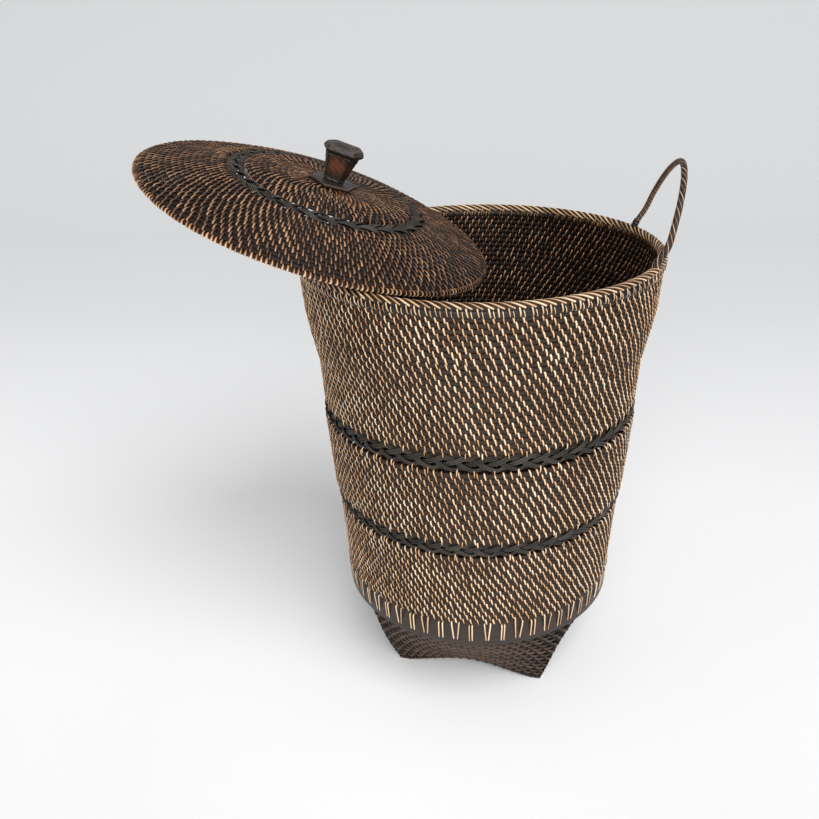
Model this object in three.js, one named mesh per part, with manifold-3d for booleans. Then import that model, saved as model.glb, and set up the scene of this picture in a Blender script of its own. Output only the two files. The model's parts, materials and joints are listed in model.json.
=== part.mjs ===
// Lidded basket of coiled rattan on a square plaited foot, standing open with its lid propped on the
// rim and on the left-hand handle. Millimetres, +Z up, floor at z = 0, handles in line with X.
import * as THREE from "three";
import { mergeVertices } from "three/addons/utils/BufferGeometryUtils.js";
import Module from "manifold-3d";

const wasm = await Module();
wasm.setup();

// Clearances
const seat = 0.3; // between two pieces that touch
const strandSeat = 0.5; // round a strand that runs through or over another piece

// Coiled wall, from the foot up
const wallThickness = 5.4;
const footHeight = 111.5; // visible height of the plaited foot
const hoopHeight = 30.5;
const lowerWallHeight = 98;
const bandHeight = 22; // height of each open braided band
const middleWallHeight = 93;
const upperWallHeight = 164;
const creaseHeight = 51; // the crease in the upper wall, above the upper band
const shoulderHeight = 107; // where the upper wall has swelled to nearly its full width
const neckHeight = 12; // upright stretch under the rim
const coilHeight = 6.1; // of one coiled row
const coilsInRib = 5; // rows that each rounded rib of the solid stands for
const ribDepth = 1.5; // of the grooves between two ribs

// Outer radius of the wall at each level
const hoopTopRadius = 171.7;
const hoopTaper = 3.1; // how much narrower the hoop is at its bottom
const lowerBandBottomRadius = 178;
const lowerBandTopRadius = 182.4;
const middleWallFlare = 6.4; // how much wider the middle wall is at its top
const upperBandDraw = 1; // how much narrower the upper band is at its top
const creaseRadius = 190.9;
const shoulderRadius = 202.4;
const neckRadius = 205.2;

// Plaited foot
const footHalfSide = 92.2; // half the side of the square that stands on the floor
const footTurn = -5; // degrees that the square is turned against the handles
const footWall = 3;
const footPadDepth = 10; // depth of the solid pad in each corner
const footArch = 8; // rise of the bottom edge between two corners
const panelThickness = 3;
const panelEase = 0.7; // round the edge of the bottom panel
const hoopThickness = 2.7;

// Lacing round the hoop
const laceUnits = 60;
const laceWidth = 2.2;
const laceThickness = 1.2;
const laceReach = 2.6; // past the hoop's edges
const laceOpenTop = 4.4; // degrees between the two strands of an open pair, at the top
const laceOpenBottom = 1.2;
const laceClosePair = 1.5; // degrees between the two strands of a close pair

// Braided bands
const braidLobes = 60;
const braidThickness = 4.6;
const braidHalfHeight = 7; // at the narrow places, where it stands off the wall
const lidBraidLobes = 36;

// Rim
const rimHoopThickness = 2.2;
const rimHoopHeight = 7.5;
const bindingThickness = 1.1;
const bindingDrop = 6.5; // height of the binding's straight sides

// Handles
const handleHalfAngle = 24.7; // degrees round the rim, from the middle of a handle to each foot
const handleRise = 93; // above the rim, along the handle's own plane
const handleSpread = 5.3; // how far outside the rim's middle the arch starts
const handleLean = 16.7; // degrees
const handleRoundness = 1.8; // exponent of the arch: 2 is an ellipse, less is more pointed
const handleRadius = 3.4;
const stakeRadius = 1.5;
const stakeDepth = 24; // how far each stake is pushed down into the wall
const collarRadius = 5.2;
const collarLength = 7;

// Lid
const lidRadius = 206; // to the outside of its edge hoop
const lidThickness = 6;
const lidCrown = 37; // rise that the domed part would reach in the middle
const lidFlat = 70; // radius of the flat middle
const lidEdgeRadius = 3.2; // section of the edge hoop
const lidBraidInner = 95;
const lidBraidOuter = 117.4;
const lidBraidHalfWidth = 7.4;
const locatingInset = 20; // in from the lid's outside, to drop inside the rim
const locatingWidth = 4;
const locatingDrop = 8; // below the plane of the edge
const lidTilt = 20.1; // degrees, left end up
const lidSlip = 185; // from the basket's axis to the lid's middle
const lidTurn = -1.9; // degrees that the lid lies off the handles' line
const knobOffset = 7.3; // how far the coil's middle sits off the lid's middle

// Knob
const flangeRadius = 28;
const flangeThickness = 4;
const flangeDraw = 22.4; // distance from the middle of the point that each hollow side is drawn towards
const flangeTurn = 23; // degrees of its first corner off the lid's slope
const knobFootRadius = 12.2;
const knobWaistRadius = 15.6;
const knobWaistHeight = 14.4; // above the flange
const knobNeckRadius = 20.2; // under the cap
const knobCapRadius = 24;
const knobTopRadius = 21;
const knobHeight = 41.5;
const knobCapHeight = 10.8;
const knobCapEdge = 4; // height of the widest line above the cap's underside
const knobCrown = 1.8; // rise of the top's middle over its corners
const knobCorner = 48; // degrees of the next corner off the long diagonal: 60 would make the six sides even
const pegRadius = 5;
const pegInsertion = 11;
const pegTail = 10;
const washerRadius = 18;
const washerThickness = 4;
const pinRadius = 1.5;
const pinLength = 22;

const ROUND = 48; // facets in a ring
const TURNED = 24; // facets in a small turned piece
const SLIM = 12; // facets in a hole or a pin

const hoopBottomRadius = hoopTopRadius - hoopTaper;
const upperBandBottomRadius = lowerBandTopRadius + middleWallFlare;
const upperBandTopRadius = upperBandBottomRadius - upperBandDraw;
const footHoopTop = footHeight + hoopHeight;
const lowerBandBottom = footHoopTop + lowerWallHeight;
const lowerBandTop = lowerBandBottom + bandHeight;
const upperBandBottom = lowerBandTop + middleWallHeight;
const upperBandTop = upperBandBottom + bandHeight;
const wallTop = upperBandTop + upperWallHeight;
const rimRadius = neckRadius - wallThickness / 2;
const rimHalfWidth = wallThickness / 2 + seat + rimHoopThickness + seat + bindingThickness;
const rimTop = wallTop + seat + bindingThickness + rimHalfWidth;

const rad = THREE.MathUtils.degToRad;
const lerp = THREE.MathUtils.lerp;

// Materials
function cane(color, roughness = 0.6) {
  return new THREE.MeshStandardMaterial({ color, roughness, metalness: 0 });
}
const coilCane = cane(0x6b4a30);
const stitchCane = cane(0xc8965a, 0.5);
const darkBraid = cane(0x26211d, 0.55);
const plait = cane(0x3d302a, 0.7);
const darkStrip = cane(0x33261f, 0.5);
const carvedWood = cane(0x3a2218, 0.45);

const root = new THREE.Group();

function place(name, geometry, material, group = root) {
  const mesh = new THREE.Mesh(geometry, material);
  mesh.name = name;
  group.add(mesh);
  return mesh;
}

// A ring turned about Z from a closed outline of [radius, height] points, anticlockwise.
function turned(outline, facets = ROUND) {
  const loop = [...outline, outline[0]].map(([r, z]) => new THREE.Vector2(r, z));
  return new THREE.LatheGeometry(loop, facets).rotateX(Math.PI / 2);
}

// A solid turned about Z from [radius, height] points that start and end on the axis.
function turnedSolid(outline, facets) {
  const line = outline.map(([r, z]) => new THREE.Vector2(r, z));
  return new THREE.LatheGeometry(line, facets).rotateX(Math.PI / 2);
}

// A closed ring through the outline that section(angle, index) gives at each of count angles.
function swept(count, section) {
  const points = [];
  const faces = [];
  let size = 0;
  for (let i = 0; i < count; i++) {
    const angle = (2 * Math.PI * i) / count;
    const outline = section(angle, i);
    size = outline.length;
    outline.forEach(([r, z]) => points.push(r * Math.cos(angle), r * Math.sin(angle), z));
  }
  for (let i = 0; i < count; i++) {
    for (let j = 0; j < size; j++) {
      const a = i * size + j;
      const b = i * size + ((j + 1) % size);
      const c = ((i + 1) % count) * size + ((j + 1) % size);
      const d = ((i + 1) % count) * size + j;
      faces.push(a, d, b, b, d, c);
    }
  }
  const geometry = new THREE.BufferGeometry();
  geometry.setAttribute("position", new THREE.Float32BufferAttribute(points, 3));
  geometry.setIndex(faces);
  return geometry;
}

// A closed loop of flat cane laid through points on a round surface, flat side outwards.
function laidStrand(points, width, thickness) {
  const count = points.length;
  const corners = [];
  const faces = [];
  points.forEach((point, i) => {
    const before = points[(i + count - 1) % count];
    const after = points[(i + 1) % count];
    const along = after.clone().sub(before).normalize();
    const out = new THREE.Vector3(point.x, point.y, 0).normalize();
    const side = along.clone().cross(out).normalize();
    for (const [s, o] of [[-1, -1], [1, -1], [1, 1], [-1, 1]]) {
      const corner = point.clone();
      corner.addScaledVector(side, (s * width) / 2);
      corner.addScaledVector(out, (o * thickness) / 2);
      corners.push(corner.x, corner.y, corner.z);
    }
  });
  for (let i = 0; i < count; i++) {
    for (let j = 0; j < 4; j++) {
      const a = i * 4 + j;
      const b = i * 4 + ((j + 1) % 4);
      const c = ((i + 1) % count) * 4 + ((j + 1) % 4);
      const d = ((i + 1) % count) * 4 + j;
      faces.push(a, d, b, b, d, c);
    }
  }
  const geometry = new THREE.BufferGeometry();
  geometry.setAttribute("position", new THREE.Float32BufferAttribute(corners, 3));
  geometry.setIndex(faces);
  return geometry;
}

// A round rod, or a tube where bore is given, along a curve.
function rod(curve, radius, steps, sides, bore = 0) {
  const shape = new THREE.Shape().absarc(0, 0, radius, 0, 2 * Math.PI, false);
  if (bore) shape.holes.push(new THREE.Path().absarc(0, 0, bore, 0, 2 * Math.PI, true));
  return new THREE.ExtrudeGeometry(shape, {
    extrudePath: curve,
    steps,
    curveSegments: sides,
    bevelEnabled: false,
  });
}

function toSolid(geometry) {
  const bare = geometry.clone();
  bare.deleteAttribute("normal");
  bare.deleteAttribute("uv");
  const merged = mergeVertices(bare, 1e-3);
  const vertProperties = merged.attributes.position.array;
  const triVerts = new Uint32Array(merged.index.array);
  return new wasm.Manifold(new wasm.Mesh({ numProp: 3, vertProperties, triVerts }));
}

function toGeometry(solid) {
  const mesh = solid.getMesh();
  const geometry = new THREE.BufferGeometry();
  geometry.setAttribute("position", new THREE.BufferAttribute(new Float32Array(mesh.vertProperties), 3));
  geometry.setIndex(new THREE.BufferAttribute(new Uint32Array(mesh.triVerts), 1));
  return geometry;
}

// The geometry with each of the cutters taken out of it.
function cut(geometry, cutters) {
  const left = cutters.reduce((solid, cutter) => solid.subtract(toSolid(cutter)), toSolid(geometry));
  return toGeometry(left);
}

// An upright cylinder between two heights.
function bar(x, y, from, to, radius, sides = SLIM) {
  const cylinder = new THREE.CylinderGeometry(radius, radius, to - from, sides);
  return cylinder.rotateX(Math.PI / 2).translate(x, y, (from + to) / 2);
}

// Outer radius of the coiled wall at a height
const wallLine = [
  [footHoopTop, hoopTopRadius],
  [lowerBandBottom, lowerBandBottomRadius],
  [lowerBandTop, lowerBandTopRadius],
  [upperBandBottom, upperBandBottomRadius],
  [upperBandTop, upperBandTopRadius],
  [upperBandTop + creaseHeight, creaseRadius],
  [upperBandTop + shoulderHeight, shoulderRadius],
  [wallTop - neckHeight, neckRadius],
  [wallTop, neckRadius],
];

function wallRadius(height) {
  const i = wallLine.findIndex(([z], k) => k > 0 && height <= z);
  const [[z0, r0], [z1, r1]] = i < 0 ? wallLine.slice(-2) : wallLine.slice(i - 1, i + 1);
  return lerp(r0, r1, (height - z0) / (z1 - z0));
}

// The outline of ribs between two heights, each one rounded off to the groove below it
function ribs(from, to) {
  const count = Math.round((to - from) / (coilHeight * coilsInRib));
  const corners = [[0, ribDepth], [0.2, 0], [0.8, 0]];
  return Array.from({ length: count }, (_, i) => i).flatMap((i) =>
    corners.map(([part, depth]) => {
      const z = lerp(from, to, (i + part) / count);
      return [wallRadius(z) - depth, z];
    }),
  );
}

// A ribbed wall up to a height, with any plain heights above the ribs
function wallSection(from, to, above = []) {
  const end = above.length ? above.map((z) => [wallRadius(z), z]) : [[wallRadius(to) - ribDepth, to]];
  const top = above.at(-1) ?? to;
  const bends = wallLine.map(([z]) => z).filter((z) => z > from && z < top);
  const inside = [from, ...bends, top].map((z) => [wallRadius(z) - wallThickness, z]).reverse();
  return turned([...ribs(from, to), ...end, ...inside]);
}

// Basket: the foot, walls, bands and rim share the facets of the foot's square
const basket = new THREE.Group();
basket.rotation.z = rad(footTurn);
root.add(basket);

// Places of the four handle feet, as angles in the basket's own turn
const footAngles = [];
for (const middle of [0, 180]) {
  for (const side of [-1, 1]) footAngles.push(rad(middle + side * handleHalfAngle - footTurn));
}
const stakeHoles = footAngles.map((angle) => {
  const [x, y] = [rimRadius * Math.cos(angle), rimRadius * Math.sin(angle)];
  return bar(x, y, wallTop - stakeDepth, rimTop + seat, stakeRadius + strandSeat);
});

// Plaited foot: a square on the floor that opens out to a circle under the hoop
const footTopRadius = hoopBottomRadius - hoopThickness - seat;
const footSpigotRadius = hoopTopRadius - hoopThickness - seat;

function squareRadius(angle) {
  return footHalfSide / Math.max(Math.abs(Math.cos(angle)), Math.abs(Math.sin(angle)));
}

function footOutside(angle, z) {
  return lerp(squareRadius(angle), footTopRadius, z / footHeight);
}

const padRadius = squareRadius(Math.PI / 4) - footPadDepth;

function footInside(angle, z) {
  const floorRadius = Math.min(squareRadius(angle) - footWall, padRadius);
  return lerp(floorRadius, footTopRadius - footWall, z / footHeight);
}

function footEdge(angle) {
  const fromCorner = Math.abs((((angle % (Math.PI / 2)) + Math.PI / 2) % (Math.PI / 2)) - Math.PI / 4);
  const padHalf = (2 * Math.PI) / ROUND;
  const t = Math.max(0, fromCorner - padHalf) / (Math.PI / 4 - padHalf);
  return footArch * Math.sin((t * Math.PI) / 2);
}

const footTop = footHoopTop - seat;
const footShell = swept(ROUND, (angle) => {
  const edge = footEdge(angle);
  const middle = footHeight / 2;
  return [
    [footOutside(angle, edge), edge],
    [footOutside(angle, middle), middle],
    [footTopRadius, footHeight],
    [footSpigotRadius, footTop],
    [footSpigotRadius - footWall, footTop],
    [footTopRadius - footWall, footHeight],
    [footInside(angle, middle), middle],
    [footInside(angle, edge), edge],
  ];
});
place("plaited_foot", footShell, plait, basket);

// Bottom panel, plaited flat and set inside the foot
const panelUnderside = footArch + seat;
const panelOutline = new THREE.Shape();
for (let i = 0; i < ROUND; i++) {
  const angle = (2 * Math.PI * i) / ROUND;
  const r = footInside(angle, panelUnderside) - panelEase;
  const method = i ? "lineTo" : "moveTo";
  panelOutline[method](r * Math.cos(angle), r * Math.sin(angle));
}
const panel = new THREE.ExtrudeGeometry(panelOutline, { depth: panelThickness, bevelEnabled: false });
place("bottom_panel", panel.translate(0, 0, panelUnderside), plait, basket);

// Flat hoop round the joint between foot and wall
const footHoop = turned([
  [hoopBottomRadius, footHeight + seat],
  [hoopTopRadius, footHoopTop],
  [hoopTopRadius - hoopThickness, footHoopTop],
  [hoopBottomRadius - hoopThickness, footHeight + seat],
]);
place("foot_hoop", footHoop, darkStrip, basket);

// Lacing: one strand that goes up and down over the hoop, in open and close pairs by turns
const laceTop = footHoopTop + laceReach;
const laceBottom = footHeight - laceReach;
const laceStand = strandSeat + laceThickness / 2;
const hoopRadius = (z) => lerp(hoopBottomRadius, hoopTopRadius, (z - footHeight) / hoopHeight);
const laceHigh = [Math.max(wallRadius(laceTop), hoopRadius(laceTop)) + laceStand, laceTop];
const laceLow = [hoopRadius(laceBottom) + laceStand, laceBottom];
const lacePoints = [];
for (let i = 0; i < laceUnits; i++) {
  const middle = (360 * i) / laceUnits;
  const top = (i % 2 ? laceOpenTop : laceClosePair) / 2;
  const bottom = (i % 2 ? laceOpenBottom : laceClosePair) / 2;
  for (const [turn, [r, z]] of [[-top, laceHigh], [-bottom, laceLow], [bottom, laceLow], [top, laceHigh]]) {
    const angle = rad(middle + turn);
    lacePoints.push(new THREE.Vector3(r * Math.cos(angle), r * Math.sin(angle), z));
  }
}
place("hoop_lacing", laidStrand(lacePoints, laceWidth, laceThickness), stitchCane, basket);

// Coiled walls
place("wall_lower", wallSection(footHoopTop + seat, lowerBandBottom), coilCane, basket);
place("wall_middle", wallSection(lowerBandTop, upperBandBottom), coilCane, basket);
const upperWall = wallSection(upperBandTop, wallTop - stakeDepth, [wallTop - neckHeight, wallTop]);
place("wall_upper", cut(upperWall, stakeHoles), coilCane, basket);

// Braided bands: scalloped, so that they touch the wall at the peaks and leave slots between
function wallBraid(bottom) {
  const middle = bottom + bandHeight / 2;
  return swept(2 * braidLobes, (angle, i) => {
    const half = i % 2 ? braidHalfHeight : bandHeight / 2 - seat;
    const inset = (wallThickness - braidThickness) / 2;
    const outer = (z) => (wallRadius(z) - inset) * Math.cos(Math.PI / ROUND);
    const low = middle - half;
    const high = middle + half;
    return [
      [outer(low), low],
      [outer(high), high],
      [outer(high) - braidThickness, high],
      [outer(low) - braidThickness, low],
    ];
  });
}
place("braid_lower", wallBraid(lowerBandBottom), darkBraid, basket);
place("braid_upper", wallBraid(upperBandBottom), darkBraid, basket);

// Rim: a hoop on each side of the wall's top edge, bound over with cane
function rimHoop(inner) {
  const top = wallTop + seat;
  return turned([
    [inner + rimHoopThickness, top - rimHoopHeight],
    [inner + rimHoopThickness, top],
    [inner, top],
    [inner, top - rimHoopHeight],
  ]);
}
place("rim_hoop_outer", rimHoop(neckRadius + seat), stitchCane, basket);
place("rim_hoop_inner", rimHoop(neckRadius - wallThickness - seat - rimHoopThickness), stitchCane, basket);

const bindingCentre = rimTop - rimHalfWidth;
const archPoints = 6;

function bindingArc(radius, from, to) {
  return Array.from({ length: archPoints + 1 }, (_, i) => {
    const angle = lerp(from, to, i / archPoints);
    return [rimRadius + radius * Math.cos(angle), bindingCentre + radius * Math.sin(angle)];
  });
}
const bindingInner = rimHalfWidth - bindingThickness;
const bindingBottom = bindingCentre - bindingDrop;
const binding = turned([
  [rimRadius + rimHalfWidth, bindingBottom],
  ...bindingArc(rimHalfWidth, 0, Math.PI),
  [rimRadius - rimHalfWidth, bindingBottom],
  [rimRadius - bindingInner, bindingBottom],
  ...bindingArc(bindingInner, Math.PI, 0),
  [rimRadius + bindingInner, bindingBottom],
]);
place("rim_binding", cut(binding, stakeHoles), coilCane, basket);

// Handle: the line of an arch whose stakes stand in the wall, leaning outwards by lean degrees
function handleLine(lean) {
  const half = rad(handleHalfAngle);
  const stake = (s) => new THREE.Vector3(rimRadius * Math.cos(half), s * rimRadius * Math.sin(half), 0);
  const arch = rimRadius + handleSpread;
  const points = [];
  const upright = [wallTop - stakeDepth + seat, wallTop - stakeDepth / 2, wallTop, rimTop];
  upright.forEach((z) => points.push(stake(1).setZ(z)));
  const steps = 12;
  for (let i = 1; i < steps; i++) {
    const t = (Math.PI * i) / steps;
    const across = Math.sign(Math.cos(t)) * Math.abs(Math.cos(t)) ** (2 / handleRoundness);
    const up = Math.sin(t) ** (2 / handleRoundness) * handleRise;
    const x = arch * Math.cos(half) + up * Math.sin(rad(lean));
    points.push(new THREE.Vector3(x, across * arch * Math.sin(half), rimTop + up * Math.cos(rad(lean))));
  }
  upright.reverse().forEach((z) => points.push(stake(-1).setZ(z)));
  return new THREE.CatmullRomCurve3(points, false, "centripetal");
}

// The stake, the wrapping and the lashings are drawn through the same stations, so they stay concentric
const handleStations = 44;
const handleSides = 3; // curve segments in each half of the section

function addHandle(side, turn, lean) {
  const group = new THREE.Group();
  group.rotation.z = rad(turn);
  root.add(group);
  const line = handleLine(lean);
  const stations = line.getSpacedPoints(handleStations);
  const step = line.getLength() / handleStations;
  const buried = stations.findIndex((point) => point.z > rimTop);
  const lashed = Math.max(1, Math.round(collarLength / step));
  const last = handleStations - buried;
  const along = (radius, from, to, bore) => {
    const curve = new THREE.CatmullRomCurve3(stations.slice(from, to + 1));
    return rod(curve, radius, to - from, handleSides, bore);
  };
  const wrapBore = stakeRadius + strandSeat;
  const lashingBore = handleRadius + strandSeat;
  const firstLashing = along(collarRadius, buried, buried + lashed, lashingBore);
  const lastLashing = along(collarRadius, last - lashed, last, lashingBore);
  place(`handle_${side}_stake`, along(stakeRadius, 0, handleStations), coilCane, group);
  place(`handle_${side}_wrap`, along(handleRadius, buried, last, wrapBore), coilCane, group);
  place(`handle_${side}_lashing_back`, side === "right" ? firstLashing : lastLashing, stitchCane, group);
  place(`handle_${side}_lashing_front`, side === "right" ? lastLashing : firstLashing, stitchCane, group);
}

// Lid, in its own frame: the plane of its edge is z = 0 and its middle is the origin
const lidMiddle = (r) => lidCrown * (1 - (Math.max(r, lidFlat) / lidRadius) ** 2);
const lidTop = (r) => lidMiddle(r) + lidThickness / 2;
const lidUnder = (r) => lidMiddle(r) - lidThickness / 2;

// How far the coils of radius r are shifted towards the low side
function coilShift(r) {
  const still = flangeRadius;
  return knobOffset * (1 - Math.max(0, r - still) / (lidRadius - still));
}

function offCentre(geometry) {
  const position = geometry.getAttribute("position");
  for (let i = 0; i < position.count; i++) {
    const r = Math.hypot(position.getX(i), position.getY(i));
    position.setX(i, position.getX(i) + coilShift(r));
  }
  return geometry;
}

const lidRings = 4; // rings of facets across each run of coils

function lidCoils(inner, outer) {
  const radii = Array.from({ length: lidRings + 1 }, (_, i) => lerp(inner, outer, i / lidRings));
  const under = radii.map((r) => [r, lidUnder(r)]);
  const over = radii.map((r) => [r, lidTop(r)]).reverse();
  return offCentre(turned([...under, ...over]));
}

function lidBraid() {
  const middle = (lidBraidInner + lidBraidOuter) / 2;
  const reach = (lidBraidOuter - lidBraidInner) / 2 - seat;
  const ring = swept(2 * lidBraidLobes, (angle, i) => {
    const half = i % 2 ? lidBraidHalfWidth : reach;
    const [a, b] = [middle - half, middle + half];
    const h = braidThickness / 2;
    return [
      [a, lidMiddle(a) - h],
      [b, lidMiddle(b) - h],
      [b, lidMiddle(b) + h],
      [a, lidMiddle(a) + h],
    ];
  });
  return offCentre(ring);
}

const lidCoilEdge = lidRadius - 2 * lidEdgeRadius - seat;
const pegHole = pegRadius + strandSeat;
const locatingRadius = lidRadius - locatingInset;
const locatingInner = locatingRadius - locatingWidth / 2;
const locatingOuter = locatingRadius + locatingWidth / 2;
const locatingHoop = turned([
  [locatingInner, -locatingDrop],
  [locatingOuter, -locatingDrop],
  [locatingOuter, lidUnder(locatingOuter) - seat],
  [locatingInner, lidUnder(locatingInner) - seat],
]);

const lid = new THREE.Group();
place("lid_inner_coils", lidCoils(pegHole, lidBraidInner), coilCane, lid);
place("lid_braid", lidBraid(), darkBraid, lid);
place("lid_outer_coils", lidCoils(lidBraidOuter, lidCoilEdge), coilCane, lid);
const edgeSides = 8;
const edgeHoop = Array.from({ length: edgeSides }, (_, i) => {
  const angle = (2 * Math.PI * (i + 0.5)) / edgeSides;
  return [lidRadius - lidEdgeRadius + lidEdgeRadius * Math.cos(angle), lidEdgeRadius * Math.sin(angle)];
});
place("lid_edge_hoop", turned(edgeHoop), stitchCane, lid);
place("lid_locating_hoop", offCentre(locatingHoop), darkStrip, lid);

// Knob, carved six-sided, on a flange, with a peg through the lid that is pinned under a washer
const flangeBottom = lidTop(0) + seat;
const knobBottom = flangeBottom + flangeThickness + seat;
const knobTop = knobBottom + knobHeight;
const flangeOutline = new THREE.Shape();
const sixth = Math.PI / 3;
flangeOutline.moveTo(flangeRadius, 0);
for (let i = 1; i <= 6; i++) {
  const half = (i - 0.5) * sixth;
  const corner = [flangeRadius * Math.cos(i * sixth), flangeRadius * Math.sin(i * sixth)];
  flangeOutline.quadraticCurveTo(flangeDraw * Math.cos(half), flangeDraw * Math.sin(half), ...corner);
}
const flangeSteps = 4; // facets in each hollow side
const flangeSolid = new THREE.ExtrudeGeometry(flangeOutline, {
  depth: flangeThickness,
  bevelEnabled: false,
  curveSegments: flangeSteps,
});
const pegTop = knobBottom + pegInsertion;
const washerTop = lidUnder(washerRadius) - seat;
const washerBottom = washerTop - washerThickness;
const pinHeight = washerBottom - seat - pinRadius;
const pegBottom = washerBottom - pegTail;
const flange = flangeSolid.rotateZ(rad(flangeTurn)).translate(0, 0, flangeBottom);
const pegBore = bar(0, 0, pegBottom, pegTop + seat, pegHole, TURNED);
place("knob_flange", cut(flange, [pegBore]).translate(knobOffset, 0, 0), carvedWood, lid);

const capBottom = knobTop - knobCapHeight;

// Six-sided, with its long diagonal along the lid's slope and its two wide sides across it
function sixSided(outline) {
  const geometry = turnedSolid(outline, 6).rotateZ(rad(30));
  const position = geometry.getAttribute("position");
  for (let i = 0; i < position.count; i++) {
    const [x, y] = [position.getX(i), position.getY(i)];
    const r = Math.hypot(x, y);
    if (Math.abs(y) < r / 2) continue;
    const angle = rad(knobCorner);
    position.setX(i, Math.sign(x) * r * Math.cos(angle));
    position.setY(i, Math.sign(y) * r * Math.sin(angle));
  }
  return geometry;
}

const knob = sixSided([
  [0, knobBottom],
  [knobFootRadius, knobBottom],
  [knobWaistRadius, knobBottom + knobWaistHeight],
  [knobNeckRadius, capBottom],
  [knobCapRadius, capBottom + knobCapEdge],
  [knobTopRadius, knobTop - knobCrown],
  [0, knobTop],
]);
place("knob", cut(knob, [pegBore]).translate(knobOffset, 0, 0), carvedWood, lid);

const washer = bar(0, 0, washerBottom, washerTop, washerRadius, TURNED);
place("knob_washer", cut(washer, [pegBore]).translate(knobOffset, 0, 0), carvedWood, lid);

function crossPin(radius) {
  return new THREE.CylinderGeometry(radius, radius, pinLength, SLIM).translate(0, 0, pinHeight);
}
const peg = cut(bar(0, 0, pegBottom, pegTop, pegRadius, TURNED), [crossPin(pinRadius + seat)]);
place("knob_peg", peg.translate(knobOffset, 0, 0), carvedWood, lid);
place("knob_pin", crossPin(pinRadius).translate(knobOffset, 0, 0), stitchCane, lid);

// The lid's resting height: its edge hoop and its locating hoop both stay clear of the rim's binding
function lidPoint(x, y, z) {
  const point = new THREE.Vector3(x, y, z);
  return point.applyEuler(new THREE.Euler(0, rad(lidTilt), 0)).add(new THREE.Vector3(-lidSlip, 0, 0));
}

// The height at which a hoop of the lid, of a round section, first touches the rim's round top
function touchingHeight(radius, z, section) {
  let height = -Infinity;
  const steps = 720;
  for (let i = 0; i < steps; i++) {
    const angle = (2 * Math.PI * i) / steps;
    const point = lidPoint(radius * Math.cos(angle), radius * Math.sin(angle), z);
    const off = Math.hypot(point.x, point.y) - rimRadius;
    const reach = rimHalfWidth + section + seat;
    if (Math.abs(off) < reach) {
      height = Math.max(height, bindingCentre + Math.sqrt(reach ** 2 - off ** 2) - point.z);
    }
  }
  return height;
}
const lidHeight = Math.max(
  touchingHeight(lidRadius - lidEdgeRadius, 0, lidEdgeRadius),
  touchingHeight(locatingOuter, -locatingDrop, 0),
  touchingHeight(locatingInner, -locatingDrop, 0),
);

// The lean at which the left handle's wrapped rod touches the underside of the lid
function roomAboveHandle(lean) {
  const toLid = new THREE.Matrix4().makeRotationY(rad(lidTilt));
  toLid.setPosition(-lidSlip, 0, lidHeight).invert();
  let room = Infinity;
  const samples = 200;
  for (const point of handleLine(lean).getSpacedPoints(samples)) {
    const [x, y] = [-point.x, point.y];
    const local = new THREE.Vector3(x, y, point.z).applyMatrix4(toLid);
    const r = Math.hypot(local.x - coilShift(Math.hypot(local.x, local.y)), local.y);
    if (r < lidCoilEdge) room = Math.min(room, lidUnder(r) - local.z - handleRadius);
  }
  return room;
}

function leanUnderLid() {
  const halvings = 30;
  const flattest = 60;
  let [low, high] = [handleLean, flattest];
  for (let i = 0; i < halvings; i++) {
    const middle = (low + high) / 2;
    if (roomAboveHandle(middle) < strandSeat) low = middle;
    else high = middle;
  }
  return high;
}

addHandle("right", 0, handleLean);
addHandle("left", 180, leanUnderLid());

const lidPlace = new THREE.Group();
lidPlace.rotation.z = rad(lidTurn);
lid.position.set(-lidSlip, 0, lidHeight);
lid.rotation.y = rad(lidTilt);
lidPlace.add(lid);
root.add(lidPlace);

// The origin is under the middle of the whole object, between the lid's left end and the right handle
const lidReach = lidSlip + lidRadius * Math.cos(rad(lidTilt));
const handleArch = (rimRadius + handleSpread) * Math.cos(rad(handleHalfAngle));
const handleReach = handleArch + handleRise * Math.sin(rad(handleLean)) + handleRadius;
root.position.x = (lidReach - handleReach) / 2;

const part = new THREE.Group();
part.add(root);
export default part;
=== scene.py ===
import json
import math

import bmesh
import bpy
import numpy as np
from mathutils import Matrix, Vector

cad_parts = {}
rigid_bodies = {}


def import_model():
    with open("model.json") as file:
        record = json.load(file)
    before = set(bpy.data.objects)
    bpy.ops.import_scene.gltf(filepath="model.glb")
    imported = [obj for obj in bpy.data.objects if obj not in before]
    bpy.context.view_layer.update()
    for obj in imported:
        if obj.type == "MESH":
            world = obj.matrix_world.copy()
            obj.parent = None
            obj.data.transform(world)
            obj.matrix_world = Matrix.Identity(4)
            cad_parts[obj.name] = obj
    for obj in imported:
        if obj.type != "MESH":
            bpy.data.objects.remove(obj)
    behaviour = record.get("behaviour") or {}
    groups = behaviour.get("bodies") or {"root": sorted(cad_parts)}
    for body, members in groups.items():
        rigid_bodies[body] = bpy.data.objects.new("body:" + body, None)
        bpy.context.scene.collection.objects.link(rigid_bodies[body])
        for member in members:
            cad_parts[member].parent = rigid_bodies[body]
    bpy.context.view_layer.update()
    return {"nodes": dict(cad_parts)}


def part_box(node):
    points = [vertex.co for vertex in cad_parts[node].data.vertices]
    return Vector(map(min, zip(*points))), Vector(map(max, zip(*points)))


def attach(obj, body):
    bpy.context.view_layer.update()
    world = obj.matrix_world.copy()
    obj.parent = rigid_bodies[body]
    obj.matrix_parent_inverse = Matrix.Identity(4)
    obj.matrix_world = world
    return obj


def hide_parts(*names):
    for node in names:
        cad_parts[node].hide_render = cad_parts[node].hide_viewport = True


for leftover in list(bpy.data.objects):
    bpy.data.objects.remove(leftover)
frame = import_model()

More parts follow.
